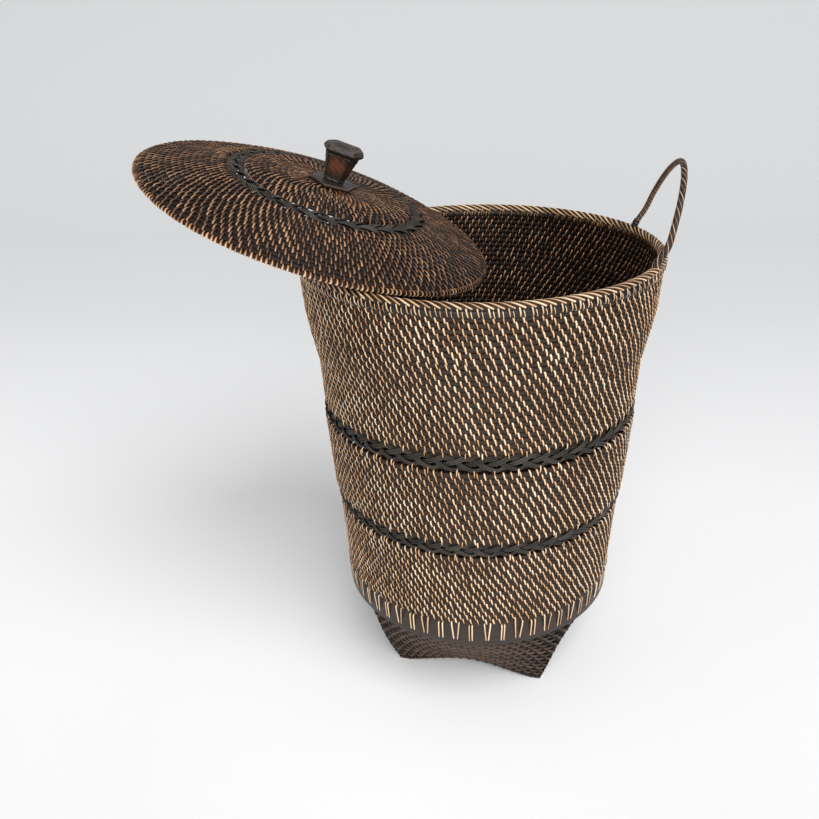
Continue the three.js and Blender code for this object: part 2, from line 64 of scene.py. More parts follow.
# All sizes below are in millimetres, and each piece is scaled to metres when it is put in place.
# BASKET and LID are the place of each body's own frame, and the body's name
MM = 0.001
rim_low, rim_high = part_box("rim_hoop_outer")
BASKET_MIDDLE = Vector(((rim_low.x + rim_high.x) / 2, 0, 0))
BASKET = (Matrix.Translation(BASKET_MIDDLE) @ Matrix.Scale(MM, 4), "basket")


def lid_place():
    """Where the lid lies: its middle, its low side as +X and its own upright as +Z."""
    hoop = np.array([v.co for v in frame["nodes"]["lid_edge_hoop"].data.vertices])
    middle = hoop.mean(0)
    upright = Vector(np.linalg.svd(hoop - middle)[2][2])
    upright = upright if upright.z > 0 else -upright
    low_side = Vector((upright.x, upright.y, 0))
    low_side = (low_side - low_side.dot(upright) * upright).normalized()
    turn = Matrix((low_side, upright.cross(low_side), upright)).transposed()
    return Matrix.Translation(Vector(middle)) @ turn.to_4x4() @ Matrix.Scale(MM, 4)


LID = (lid_place(), "lid")

# Camera, at the photograph's viewing angle
CAMERA_PLACE = BASKET_MIDDLE + Vector((0.03295, -0.9436, 0.8048))
CAMERA_YAW = math.radians(-7.17)
CAMERA_PITCH = math.radians(26.21)
CAMERA_ROLL = math.radians(-1.90)


def add_camera():
    ahead = Vector((
        math.sin(CAMERA_YAW) * math.cos(CAMERA_PITCH),
        math.cos(CAMERA_YAW) * math.cos(CAMERA_PITCH),
        -math.sin(CAMERA_PITCH),
    ))
    level = Vector((math.cos(CAMERA_YAW), -math.sin(CAMERA_YAW), 0))
    above = level.cross(ahead)
    right = math.cos(CAMERA_ROLL) * level + math.sin(CAMERA_ROLL) * above
    up = -math.sin(CAMERA_ROLL) * level + math.cos(CAMERA_ROLL) * above
    data = bpy.data.cameras.new("camera")
    data.lens = 36.88
    data.sensor_width = 36
    camera = bpy.data.objects.new("camera", data)
    turn = Matrix((right, up, -ahead)).transposed()
    camera.matrix_world = Matrix.Translation(CAMERA_PLACE) @ turn.to_4x4()
    bpy.context.scene.collection.objects.link(camera)
    bpy.context.scene.camera = camera


add_camera()


# Node trees
class Wire:
    """One output of a node, with the sums that this script needs."""

    def __init__(self, tree, node, socket):
        self.tree, self.node, self.socket = tree, node, socket

    def out(self, name):
        return Wire(self.tree, self.node, self.node.outputs[name])

    def __add__(self, other):
        return self.tree.sum("ADD", self, other)

    def __sub__(self, other):
        return self.tree.sum("SUBTRACT", self, other)

    def __rsub__(self, other):
        return self.tree.sum("SUBTRACT", other, self)

    def __mul__(self, other):
        return self.tree.sum("MULTIPLY", self, other)

    def __truediv__(self, other):
        return self.tree.sum("DIVIDE", self, other)

    __radd__ = __add__
    __rmul__ = __mul__


class Tree:
    """A node tree, and the one way in which its nodes are added."""

    def __init__(self, tree):
        self.tree = tree

    def add(self, kind, settings=None, sockets=None, output=0):
        node = self.tree.nodes.new(kind)
        for name, value in (settings or {}).items():
            if name == "stops":
                self.set_stops(node.color_ramp, value)
            else:
                setattr(node, name, value)
        for key, value in (sockets or {}).items():
            if isinstance(value, Wire):
                self.tree.links.new(value.socket, node.inputs[key])
            else:
                node.inputs[key].default_value = value
        return Wire(self, node, node.outputs[output] if node.outputs else None)

    def set_stops(self, ramp, stops):
        while len(ramp.elements) < len(stops):
            ramp.elements.new(1.0)
        for element, (position, color) in zip(ramp.elements, stops):
            element.position = position
            element.color = (*color, 1.0)

    def sum(self, operation, first, second=0.0):
        return self.add("ShaderNodeMath", {"operation": operation}, {0: first, 1: second})

    def attribute(self, name, kind="FLOAT"):
        return self.add("GeometryNodeInputNamedAttribute", {"data_type": kind}, {"Name": name})

    def profile(self, given):
        """The section that a geometry tree is given, as a curve."""
        outline = self.add("GeometryNodeObjectInfo", None, {"Object": given.out("Section")}, "Geometry")
        return self.add("GeometryNodeMeshToCurve", None, {"Mesh": outline})

    def vector(self, x, y, z):
        return self.add("ShaderNodeCombineXYZ", None, {"X": x, "Y": y, "Z": z})

    def vectors(self, operation, first, second):
        return self.add("ShaderNodeVectorMath", {"operation": operation}, {0: first, 1: second})

    def scaled(self, vector, scale):
        return self.add("ShaderNodeVectorMath", {"operation": "SCALE"}, {0: vector, "Scale": scale})


def geometry_tree(name, **inputs):
    """An empty geometry tree with named inputs, and the wires that bring them in."""
    group = bpy.data.node_groups.new(name, "GeometryNodeTree")
    group.interface.new_socket("Geometry", in_out="INPUT", socket_type="NodeSocketGeometry")
    for label, kind in inputs.items():
        group.interface.new_socket(label, in_out="INPUT", socket_type="NodeSocket" + kind)
    group.interface.new_socket("Geometry", in_out="OUTPUT", socket_type="NodeSocketGeometry")
    tree = Tree(group)
    return tree, tree.add("NodeGroupInput")


def finish_tree(tree, geometry, material):
    """Ends a tree: nothing stays an instance, and the material is set."""
    whole = tree.add("GeometryNodeRealizeInstances", None, {"Geometry": geometry})
    smooth = tree.add("GeometryNodeSetShadeSmooth", None, {"Geometry": whole})
    ended = tree.add("GeometryNodeSetMaterial", None, {"Geometry": smooth, "Material": material})
    tree.add("NodeGroupOutput", None, {"Geometry": ended})
    return tree.tree


def wobble(tree, place, reach):
    """A slow wander along each row, different from one row to the next, as coiled rods have."""
    stretched = tree.vectors("MULTIPLY", place, (0.009, 0.009, 0.11))
    sockets = {"Vector": stretched, "Scale": 1.0, "Detail": 1.0}
    noise = tree.add("ShaderNodeTexNoise", {"normalize": True}, sockets, "Color")
    wander = tree.vectors("MULTIPLY", tree.vectors("SUBTRACT", noise, (0.5, 0.5, 0.5)), (1.0, 1.0, 0.6))
    return tree.scaled(wander, reach)


def rods_tree():
    """A ring of rod at each point, as wide as the point's radius."""
    tree, given = geometry_tree(
        "coiled rods", Section="Object", Facets="Int", Wobble="Float", Material="Material")
    radius = tree.attribute("radius")
    facets = given.out("Facets")
    circle = tree.add("GeometryNodeCurvePrimitiveCircle", None, {"Resolution": facets, "Radius": 1.0})
    rings = tree.add("GeometryNodeInstanceOnPoints", None, {
        "Points": given.out("Geometry"), "Instance": circle, "Scale": tree.vector(radius, radius, 1.0)})
    rings = tree.add("GeometryNodeRealizeInstances", None, {"Geometry": rings})
    place = tree.add("GeometryNodeInputPosition")
    offset = wobble(tree, place, given.out("Wobble"))
    rings = tree.add("GeometryNodeSetPosition", None, {"Geometry": rings, "Offset": offset})
    rings = tree.add("GeometryNodeSetCurveNormal", {"mode": "Z_UP"}, {"Curve": rings})
    coils = tree.add("GeometryNodeCurveToMesh", None, {"Curve": rings, "Profile Curve": tree.profile(given)})
    return finish_tree(tree, coils, given.out("Material"))


def stitches_tree():
    """Loops of cane round each row's rod: as many as the row's count, slanted, each with its own shade."""
    tree, given = geometry_tree(
        "stitches", Loop="Object", Wobble="Float", Bend="Float", Unevenness="Float", Seed="Int",
        Material="Material")
    count = tree.attribute("count")
    copied = {"Geometry": given.out("Geometry"), "Amount": count}
    copies = tree.add("GeometryNodeDuplicateElements", {"domain": "POINT"}, copied)
    seed = given.out("Seed")

    def chance(low, high, more):
        limits = {2: low, 3: high, "Seed": seed + more}
        return tree.add("FunctionNodeRandomValue", {"data_type": "FLOAT"}, limits, 1)

    base = copies.out("Duplicate Index") / count * math.tau
    swing = tree.sum("COSINE", base - given.out("Bend"))
    uneven = given.out("Unevenness")
    turn = base + tree.attribute("phase") + tree.attribute("drift") * (0.93 + 0.2 * swing)
    turn = turn + chance(-0.2, 0.2, 1) * uneven / count * math.tau
    cos, sin = tree.sum("COSINE", turn), tree.sum("SINE", turn)
    radius = tree.attribute("radius")
    place = tree.add("GeometryNodeInputPosition")
    place = tree.vectors("ADD", place, tree.vector(cos * radius, sin * radius, 0.0))
    place = tree.vectors("ADD", place, wobble(tree, place, given.out("Wobble")))
    points = tree.add("GeometryNodeSetPosition", None, {"Geometry": copies, "Position": place})
    lean = tree.attribute("lean")
    flat = tree.sum("SINE", lean)
    upward = tree.vector(cos * flat, sin * flat, tree.sum("COSINE", lean))
    across = tree.vector(-1.0 * sin, cos, 0.0)
    slant = tree.attribute("slant") + tree.attribute("swing") * swing + chance(-0.07, 0.07, 2) * uneven
    along = tree.vectors(
        "ADD", tree.scaled(upward, tree.sum("COSINE", slant)), tree.scaled(across, tree.sum("SINE", slant)))
    outward = tree.vectors("CROSS_PRODUCT", across, upward)
    axes = {"primary_axis": "Z", "secondary_axis": "X"}
    rotation = tree.add("FunctionNodeAxesToRotation", axes, {0: along, 1: outward})
    length = tree.attribute("length") * (1.0 + chance(-0.07, 0.07, 3) * uneven)
    points = tree.add("GeometryNodeStoreNamedAttribute", {"data_type": "FLOAT", "domain": "POINT"}, {
        "Geometry": points, "Name": "shade", "Value": chance(0.0, 1.0, 4)})
    loop = tree.add("GeometryNodeObjectInfo", None, {"Object": given.out("Loop")}, "Geometry")
    loops = tree.add("GeometryNodeInstanceOnPoints", None, {
        "Points": points, "Instance": loop, "Rotation": rotation,
        "Scale": tree.vector(1.0, 1.0 + chance(-0.12, 0.12, 5) * uneven, length)})
    return finish_tree(tree, loops, given.out("Material"))


def strips_tree():
    """A strip along each guide line, its section standing on the line's outward direction."""
    tree, given = geometry_tree("laid strips", Section="Object", Material="Material")
    lines = tree.add("GeometryNodeMeshToCurve", None, {"Mesh": given.out("Geometry")})
    outward = tree.attribute("outward", "FLOAT_VECTOR")
    lines = tree.add("GeometryNodeSetCurveNormal", {"mode": "FREE"}, {"Curve": lines, "Normal": outward})
    girth = tree.attribute("girth")
    laid = tree.add("GeometryNodeCurveToMesh", None, {
        "Curve": lines, "Profile Curve": tree.profile(given), "Scale": girth, "Fill Caps": True})
    return finish_tree(tree, laid, given.out("Material"))


RODS, STITCHES, STRIPS = rods_tree(), stitches_tree(), strips_tree()


# Guides, which are the points and lines that the trees dress, and helpers, which they dress them with
helpers = []


def link(name, mesh):
    piece = bpy.data.objects.new(name, mesh)
    bpy.context.scene.collection.objects.link(piece)
    return piece


def set_attribute(mesh, name, values):
    values = np.asarray(values)
    if values.ndim == 2:
        layer = mesh.attributes.new(name, "FLOAT_VECTOR", "POINT")
        layer.data.foreach_set("vector", values.astype(np.float32).ravel())
    else:
        kind = "INT" if values.dtype.kind == "i" else "FLOAT"
        layer = mesh.attributes.new(name, kind, "POINT")
        layer.data.foreach_set("value", values.astype(np.int32 if kind == "INT" else np.float32))


ROW_VALUES = {
    "radius": 0.0, "lean": 0.0, "count": 1, "phase": 0.0, "drift": 0.0, "slant": 0.0, "swing": 0.0,
    "length": 1.0}


def row_guide(rows):
    """One point for each row, which carries its radius, its slope and how it is stitched."""
    mesh = bpy.data.meshes.new("rows")
    mesh.from_pydata([(row.get("shift", 0.0), 0.0, row["height"]) for row in rows], [], [])
    for name, usual in ROW_VALUES.items():
        set_attribute(mesh, name, [type(usual)(row.get(name, usual)) for row in rows])
    return link("rows", mesh)


GOLDEN_PART = 0.618034


def line_guide(lines):
    """Polylines, given as (points, outward directions, girths, closed), each with its own shade."""
    points, edges = [], []
    worn = {"outward": [], "girth": [], "shade": []}
    for i, (line, normals, width, closed) in enumerate(lines):
        first, count = sum(map(len, points)), len(line)
        points.append(np.asarray(line, float))
        worn["outward"].append(np.broadcast_to(np.asarray(normals, float), (count, 3)))
        worn["girth"].append(np.broadcast_to(np.asarray(width, float), (count,)))
        worn["shade"].append(np.full(count, (i * GOLDEN_PART) % 1.0))
        edges += [(first + k, first + k + 1) for k in range(count - 1)]
        if closed:
            edges.append((first + count - 1, first))
    mesh = bpy.data.meshes.new("lines")
    mesh.from_pydata(np.concatenate(points).tolist(), edges, [])
    for name, values in worn.items():
        set_attribute(mesh, name, np.concatenate(values))
    return link("lines", mesh)


def section(corners):
    """A closed outline, as (out, across) corners counter-clockwise, with painted light: a highlight that is
    palest where it stands out most.
    """
    mesh = bpy.data.meshes.new("section")
    count = len(corners)
    mesh.from_pydata([(x, y, 0.0) for x, y in corners], [(i, (i + 1) % count) for i in range(count)], [])
    out = np.array(corners)[:, 0]
    # Painted light: 1 where the outline stands out most, for a painted highlight, down to 0 on its inner
    # half, for painted shade
    set_attribute(mesh, "crest", np.clip(out / out.max(), 0, 1) ** 2)
    helpers.append(link("section", mesh))
    return helpers[-1]


def loop(length, depth, width, thickness, steps=10, fullness=2.4):
    """A closed loop of split cane, long in Z, that goes round a rod of about the given depth."""
    bm = bmesh.new()
    rings = []
    for i in range(steps):
        angle = math.tau * (i + 0.5) / steps
        cos, sin = math.cos(angle), math.sin(angle)
        x = math.copysign(abs(cos) ** (2 / fullness), cos) * depth
        z = math.copysign(abs(sin) ** (2 / fullness), sin) * length / 2
        out = Vector((cos / depth, 0, sin / (length / 2))).normalized()
        middle = Vector((x, 0, z))
        side = Vector((0, width / 2, 0))
        rings.append([bm.verts.new(p) for p in (
            middle + out * thickness / 2, middle + side, middle - out * thickness / 2, middle - side)])
    for i, here in enumerate(rings):
        after = rings[(i + 1) % steps]
        for k in range(4):
            bm.faces.new((here[k], here[(k + 1) % 4], after[(k + 1) % 4], after[k]))
    bmesh.ops.recalc_face_normals(bm, faces=bm.faces)
    mesh = bpy.data.meshes.new("loop")
    bm.to_mesh(mesh)
    # Painted light on each loop: the crest values paint a highlight on its outer face and shade at its sides;
    # along runs from 0 at its lower end to 1 at its upper end and paints it paler upwards, as light from
    # above; inside marks the half towards the rod, which is painted darker as shade inside the basket
    set_attribute(mesh, "crest", [1.0, 0.1, 0.0, 0.1] * steps)
    set_attribute(mesh, "along", [vertex.co.z / length + 0.5 for vertex in mesh.vertices])
    set_attribute(mesh, "inside", [min(1.0, max(0.0, 0.5 - vertex.co.x / depth)) for vertex in mesh.vertices])
    helpers.append(link("loop", mesh))
    return helpers[-1]


def place_piece(piece, body, node):
    place, name = body
    piece.data.transform(place)
    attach(piece, name)
    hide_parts(node)


def dressed(name, guide, group, body, slot, node, **values):
    """Makes the mesh that a tree makes of a guide a plain piece in its place."""
    modifier = guide.modifiers.new("dress", "NODES")
    modifier.node_group = group
    for item in group.interface.items_tree:
        if item.in_out == "INPUT" and item.name in values:
            modifier[item.identifier] = values[item.name]
    evaluated = guide.evaluated_get(bpy.context.evaluated_depsgraph_get())
    mesh = bpy.data.meshes.new_from_object(evaluated)
    bpy.data.objects.remove(guide)
    bm = bmesh.new()
    bm.from_mesh(mesh)
    if bm.calc_volume(signed=True) < 0:
        bmesh.ops.reverse_faces(bm, faces=bm.faces)
        bm.to_mesh(mesh)
    bm.free()
    mesh.name = name
    place_piece(link(name, mesh), body, node)


def rods(name, rows, body, node, outline, material, facets=120, wander=0.0):
    dressed(name, row_guide(rows), RODS, body, "coil_cane", node,
            Section=outline, Facets=facets, Wobble=wander, Material=material)


def stitches(name, rows, body, node, under, material, seed, uneven, wander=0.0, bend=0.0):
    dressed(name, row_guide(rows), STITCHES, body, "stitch_cane", node,
            Loop=under, Wobble=wander, Bend=bend, Unevenness=uneven, Seed=seed, Material=material)


def strips(name, lines, body, slot, node, outline, material):
    dressed(name, line_guide(lines), STRIPS, body, slot, node, Section=outline, Material=material)


# Finishes
class Finish(Tree):
    """A surface's node tree, with the patterns that several finishes share."""

    def __init__(self, name):
        self.material = bpy.data.materials.new(name)
        self.material.use_nodes = True
        self.material.node_tree.nodes.clear()
        super().__init__(self.material.node_tree)
        self.place = self.add("ShaderNodeTexCoord", None, None, "Object")

    def noise(self, scale, detail=2.0, stretch=(1.0, 1.0, 1.0)):
        """Noise from 0 to 1, with its scale in features a metre."""
        place = self.vectors("MULTIPLY", self.place, stretch)
        sockets = {"Vector": place, "Scale": scale, "Detail": detail}
        return self.add("ShaderNodeTexNoise", None, sockets, "Fac")

    def own(self, name):
        return self.add("ShaderNodeAttribute", {"attribute_name": name}, None, "Fac")

    def ramp(self, tone, *stops):
        """The colours along a tone, which is held between 0 and 1."""
        return self.add("ShaderNodeValToRGB", {"stops": stops}, {"Fac": self.kept(tone)})

    def mixed(self, factor, first, second):
        return self.add("ShaderNodeMix", {"data_type": "RGBA"}, {0: factor, 6: first, 7: second}, 2)

    def kept(self, value):
        """A value held between 0 and 1."""
        return self.add("ShaderNodeClamp", None, {"Value": value})

    def bump(self, height, strength, distance):
        sockets = {"Strength": strength, "Distance": distance, "Height": height}
        return self.add("ShaderNodeBump", None, sockets)

    def end(self, color, roughness, normal=None, **fixed):
        sockets = {"Base Color": color, "Roughness": roughness, **fixed}
        if normal:
            sockets["Normal"] = normal
        surface = self.add("ShaderNodeBsdfPrincipled", None, sockets)
        self.add("ShaderNodeOutputMaterial", None, {"Surface": surface})
        return self.material


def shown(red, green, blue):
    """A colour as it is seen on screen, from 0 to 255, turned into the light it reflects."""
    def light(value):
        value = value / 255
        return value / 12.92 if value <= 0.04045 else ((value + 0.055) / 1.055) ** 2.4
    return light(red), light(green), light(blue)


DULL = {"Specular IOR Level": 0.22}    # dyed cane shines less than bare cane


def split_cane(name, highlight_part, dark, tan, cream, pale):
    """Split cane with fine grain: a painted highlight makes it pale where it stands out and painted shade
    dark at its sides, painted shade makes it browner inside the basket, and it is painted paler towards the
    top of each loop.
    """
    finish = Finish(name)
    patch = finish.noise(14.0)
    grain = finish.noise(900.0, 3.0, (1.0, 1.0, 0.35))
    # Painted light: along makes each loop paler towards its top, the crest values add a highlight and darken
    # its sides, and inside paints shade on the half of each loop towards the rod
    tone = finish.own("shade") * 0.4 + patch * 0.5 + finish.own("along") * 0.2 + grain * 0.4 - 0.66
    tone = tone + finish.own("crest") * highlight_part - finish.own("inside") * 0.42
    color = finish.ramp(
        tone, (0.08, shown(*dark)), (0.36, shown(*tan)), (0.66, shown(*cream)), (1.0, shown(*pale)))
    return finish.end(color, 0.42 + grain * 0.2, finish.bump(grain, 0.35, 0.0006))


def dark_rod(name, low, high):
    """Dyed rod, streaked along: near black in the grooves, which is painted shade, and charcoal brown where
    it stands out, which is a painted highlight.
    """
    finish = Finish(name)
    grain = finish.noise(420.0, 3.0, (1.0, 1.0, 2.2))
    patch = finish.noise(22.0)
    # The crest values paint a highlight where the rod stands out and shade in its grooves
    tone = grain * 0.5 + patch * 0.4 + finish.own("crest") * 0.62 - 0.4
    color = finish.ramp(tone, (0.05, shown(*low)), (0.85, shown(*high)))
    return finish.end(color, 0.45 + grain * 0.25, finish.bump(grain, 0.4, 0.0008), **DULL)


def plaited_strip(name, low, high, strand_part):
    """Dyed plaited strip: each strand a little different, with fine lines along it, a painted highlight on
    the top of each ply and painted shade between the plies.
    """
    finish = Finish(name)
    grain = finish.noise(700.0, 3.0)
    patch = finish.noise(30.0)
    # The crest values paint a highlight on each ply's top and shade between the plies
    tone = finish.own("shade") * strand_part + grain * 0.4 + patch * 0.35 + finish.own("crest") * 0.62 - 0.52
    color = finish.ramp(tone, (0.1, shown(*low)), (0.9, shown(*high)))
    return finish.end(color, 0.5 + grain * 0.2, finish.bump(grain, 0.35, 0.0006), **DULL)


def hoop_strip(name, low, high):
    """Flat dark strip, semi-gloss, with long streaks round the hoop and scuffs."""
    finish = Finish(name)
    streak = finish.noise(55.0, 4.0, (0.5, 0.5, 9.0))
    scuff = finish.noise(160.0, 4.0)
    tone = streak * 0.8 + scuff * 0.35 - 0.12
    color = finish.ramp(tone, (0.2, shown(*low)), (0.8, shown(*high)))
    return finish.end(color, 0.32 + scuff * 0.3, finish.bump(streak, 0.3, 0.001))


def carved_wood(name):
    """Dark carved wood: red-brown in the middle of the stem's flats, near black in the cuts, which is painted
    shade, and paler on the worn edges.
    """
    finish = Finish(name)
    grain = finish.noise(240.0, 4.0, (1.0, 1.0, 0.22))
    patch = finish.noise(38.0)
    scratch = finish.noise(900.0, 2.0, (0.12, 1.0, 1.0))
    wood = finish.ramp(
        patch * 1.1 + grain * 0.45 - 0.36 + finish.own("rubbed") * 0.45,
        (0.12, shown(22, 16, 12)), (0.5, shown(42, 27, 19)), (0.95, shown(98, 56, 33)))
    worn = finish.kept((finish.own("edge") + scratch * 0.9 - 1.15) * 2.2)
    color = finish.mixed(worn, wood, (*shown(92, 78, 64), 1.0))
    # Painted shade: near black in the carved cuts
    cut = finish.kept(finish.own("cut") * (0.6 + grain))
    color = finish.mixed(cut, color, (*shown(22, 17, 14), 1.0))
    return finish.end(color, 0.36 + grain * 0.25, finish.bump(grain, 0.5, 0.0012))


CANE = split_cane("stitch cane", 0.78, (40, 23, 12), (138, 86, 46), (220, 174, 124), (250, 236, 208))
# Darker than the wall's cane: partly the lid's own browner cane, partly painted shade, because the lid faces
# the light more than the walls
LID_CANE = split_cane("lid cane", 0.78, (36, 22, 13), (136, 90, 56), (206, 160, 116), (246, 224, 190))
EDGE_CANE = split_cane("edge cane", 0.78, (42, 27, 17), (156, 110, 70), (226, 188, 142), (250, 234, 202))
DARK_CANE = split_cane("dark cane", 0.4, (18, 13, 10), (42, 30, 22), (78, 56, 40), (134, 102, 74))
ROD = dark_rod("dyed rod", (8, 6, 4), (64, 53, 44))
# Darker than the wall's rod: partly painted shade, because the lid faces the light more than the walls
LID_ROD = dark_rod("dark lid rod", (8, 5, 4), (50, 38, 30))
BRAID = plaited_strip("dark braid", (7, 6, 6), (104, 96, 88), 0.2)
PLAIT = plaited_strip("foot plait", (14, 10, 8), (108, 84, 68), 0.35)
# Near black: painted shade for the sheet behind the foot's plait, and on the uprights partly painted shade
# that stands for the dark gaps between the level strips
DARK_PLAIT = plaited_strip("dark foot plait", (6, 4, 3), (30, 23, 18), 0.2)
HOOP = hoop_strip("dark strip", (22, 17, 14), (66, 51, 41))
WOOD = carved_wood("carved wood")


# Sections of the rods and strips, as (out, across)
def oval(out, across, corners=8):
    turns = np.arange(corners) * math.tau / corners
    return section([(out * math.cos(turn), across * math.sin(turn)) for turn in turns])


def plied(plies, ply, rise):
    """The section of a strand of round plies that lie side by side."""
    crests = [(out * rise, (k - plies / 2 + part) * ply)
              for k in range(plies) for out, part in ((0.15, 0.0), (0.8, 0.2), (1.0, 0.5), (0.8, 0.8))]
    half = plies * ply / 2
    under = [(0.15, 1.0), (-0.5, 0.6), (-0.7, 0.0), (-0.5, -0.6)]
    return section(crests + [(out * rise, across * half) for out, across in under])


BRAID_STRAND = plied(3, 1.85, 1.5)
LID_STRAND = plied(4, 1.95, 1.5)
# Section of the dark strips that fill the bands' open slots with painted shade
SLOT_SHADE_STRIP = oval(0.5, 3.6)
SPLIT_STRIP = section([(0.4, -0.75), (0.62, 0.0), (0.4, 0.75), (-0.1, 1.05), (-0.5, 0.0), (-0.1, -1.05)])
LEVEL_STRIP = section([
    (0.55, -2.8), (0.8, 0.0), (0.55, 2.8), (0.0, 3.4), (-0.5, 2.6), (-0.5, -2.6), (0.0, -3.4)])
UPRIGHT_STRIP = section([
    (0.55, -1.4), (0.75, 0.0), (0.55, 1.4), (0.0, 2.0), (-0.5, 1.3), (-0.5, -1.3), (0.0, -2.0)])
FLAT_STRIP = section([
    (0.6, -3.2), (0.85, 0.0), (0.6, 3.2), (0.0, 3.7), (-0.6, 3.2), (-0.85, 0.0), (-0.6, -3.2), (0.0, -3.7)])
ROUND_STRIP = oval(1.0, 1.0)

# Outer radius of the basket by height
LOWER_BAND = 240
UPPER_BAND = 355
BAND_HEIGHT = 22
WALL_LINE = np.array([
    (111.5, 168.6), (142, 171.7), (LOWER_BAND, 178), (LOWER_BAND + BAND_HEIGHT, 182.4), (UPPER_BAND, 188.8),
    (UPPER_BAND + BAND_HEIGHT, 187.8), (428, 190.9), (484, 202.4), (529, 205.2), (560, 205.2)])
ROD_INSET = 3.2
ROD_OVERLAP = 0.32
RIM_RADIUS = 202.5
RIM_HEIGHT = 543.6


def wall_radius(height):
    """The outer radius of the wall, with its bends softened."""
    spread = np.linspace(-9, 9, 7)
    heights, radii = WALL_LINE.T
    return np.mean([np.interp(np.asarray(height) + d, heights, radii) for d in spread], axis=0)


def wall_lean(height):
    return math.atan2(wall_radius(height + 2) - wall_radius(height - 2), 4)


def ring(turns, radius, height):
    """Points round the axis, and the outward direction at each."""
    out = np.stack([np.cos(turns), np.sin(turns), 0 * turns], 1)
    up = np.array((0.0, 0.0, 1.0))
    return np.asarray(radius).reshape(-1, 1) * out + np.asarray(height).reshape(-1, 1) * up, out


def even_turns(count):
    return np.arange(count) * math.tau / count


def hoop_line(radius, height, count=144):
    """A closed line round the axis, facing outward."""
    return *ring(even_turns(count), radius, height), 1.0, True


def skin(name, rings, closed=False):
    """A closed piece through rings of equally many points, capped or going back to the first."""
    rings = np.asarray(rings, float)
    levels, count = rings.shape[:2]
    points = rings.reshape(-1, 3).tolist()
    faces = []
    for j in range(levels if closed else levels - 1):
        after = (j + 1) % levels
        for i in range(count):
            k = (i + 1) % count
            faces.append((j * count + i, j * count + k, after * count + k, after * count + i))
    for level in [] if closed else [0, levels - 1]:
        middle = len(points)
        points.append(rings[level].mean(0).tolist())
        for i in range(count):
            pair = [level * count + i, level * count + (i + 1) % count]
            faces.append((middle, *(pair if level else reversed(pair))))
    mesh = bpy.data.meshes.new(name)
    mesh.from_pydata(points, [], faces)
    for polygon in mesh.polygons:
        polygon.use_smooth = True
    return mesh


def put(name, mesh, material, body, slot, node, **wear_and_shade):
    for key, values in wear_and_shade.items():
        set_attribute(mesh, key, np.asarray(values, float))
    mesh.materials.append(material)
    place_piece(link(name, mesh), body, node)


# Coiled walls. Each row of stitches lags the row below by less than half a stitch, which makes slanted lines
STITCH = loop(8.5, 2.95, 2.55, 1.0)
STITCH_SLANT = math.radians(-15)
STITCH_LAG = 0.445


def wall_row(height, **more):
    """A row at a height of the wall, with what else a row says."""
    radius = float(wall_radius(height)) - ROD_INSET
    return {"height": height, "radius": radius, "lean": wall_lean(height), **more}


def wall_rows(bottom, top, rows, in_row, creases=()):
    made = []
    for k in range(rows):
        height = bottom + (top - bottom) * (k + 0.5) / rows
        row = wall_row(height, count=in_row, phase=-STITCH_LAG * k * math.tau / in_row, slant=STITCH_SLANT)
        row["radius"] -= 1.3 * sum(max(0.0, 1 - abs(height - crease) / 5) for crease in creases)
        made.append(row)
    return made


def coiled_wall(name, *runs):
    """Rods and stitches of a wall, in runs of (bottom, top, rows, stitches in a row, heights of creases)."""
    for k, run in enumerate(runs):
        label = f"_{k + 1}" if len(runs) > 1 else ""
        rows = wall_rows(*run)
        pitch = (run[1] - run[0]) / run[2]
        rod = oval(2.5, pitch / 2 + ROD_OVERLAP)
        rods(f"{name}_rods{label}", rows, BASKET, name, rod, ROD, wander=1.0)
        stitches(f"{name}_stitches{label}", rows, BASKET, name, STITCH, CANE, 11 + k, uneven=0.6, wander=1.0)


coiled_wall("wall_lower", (142.6, LOWER_BAND, 16, 124))
coiled_wall("wall_middle", (LOWER_BAND + BAND_HEIGHT, UPPER_BAND, 14, 126))
coiled_wall("wall_upper", (UPPER_BAND + BAND_HEIGHT, 485, 17, 127, (428, 479)), (485, 541, 9, 138))


# Open plaited bands, tied to the coils above and below
def plait(periods, reach, depth, lay, first_tip=0.0, steps=24):
    """Three strands that plait round a ring: lay turns (turn, across, out) into places and directions."""
    lines = []
    for strand in range(3):
        turns = even_turns(periods * steps)
        wave = periods * (turns - first_tip) + math.pi / 2 + strand * math.tau / 3
        pointed = np.arcsin(0.98 * np.sin(wave)) / math.asin(0.98)
        points, outward = lay(turns, reach * pointed, depth * np.sin(2 * wave))
        lines.append((points, outward, 1.0, True))
    return lines


def tilted(outward, toward, amount):
    """Directions that lean towards another one."""
    leaned = outward + np.asarray(amount).reshape(-1, 1) * np.asarray(toward)
    return leaned / np.linalg.norm(leaned, axis=1)[:, None]


BAND_TIE = loop(8.5, 3.1, 2.1, 0.9)
BAND_PERIODS = 17
SLOT_SHADE_OUT = -2.5


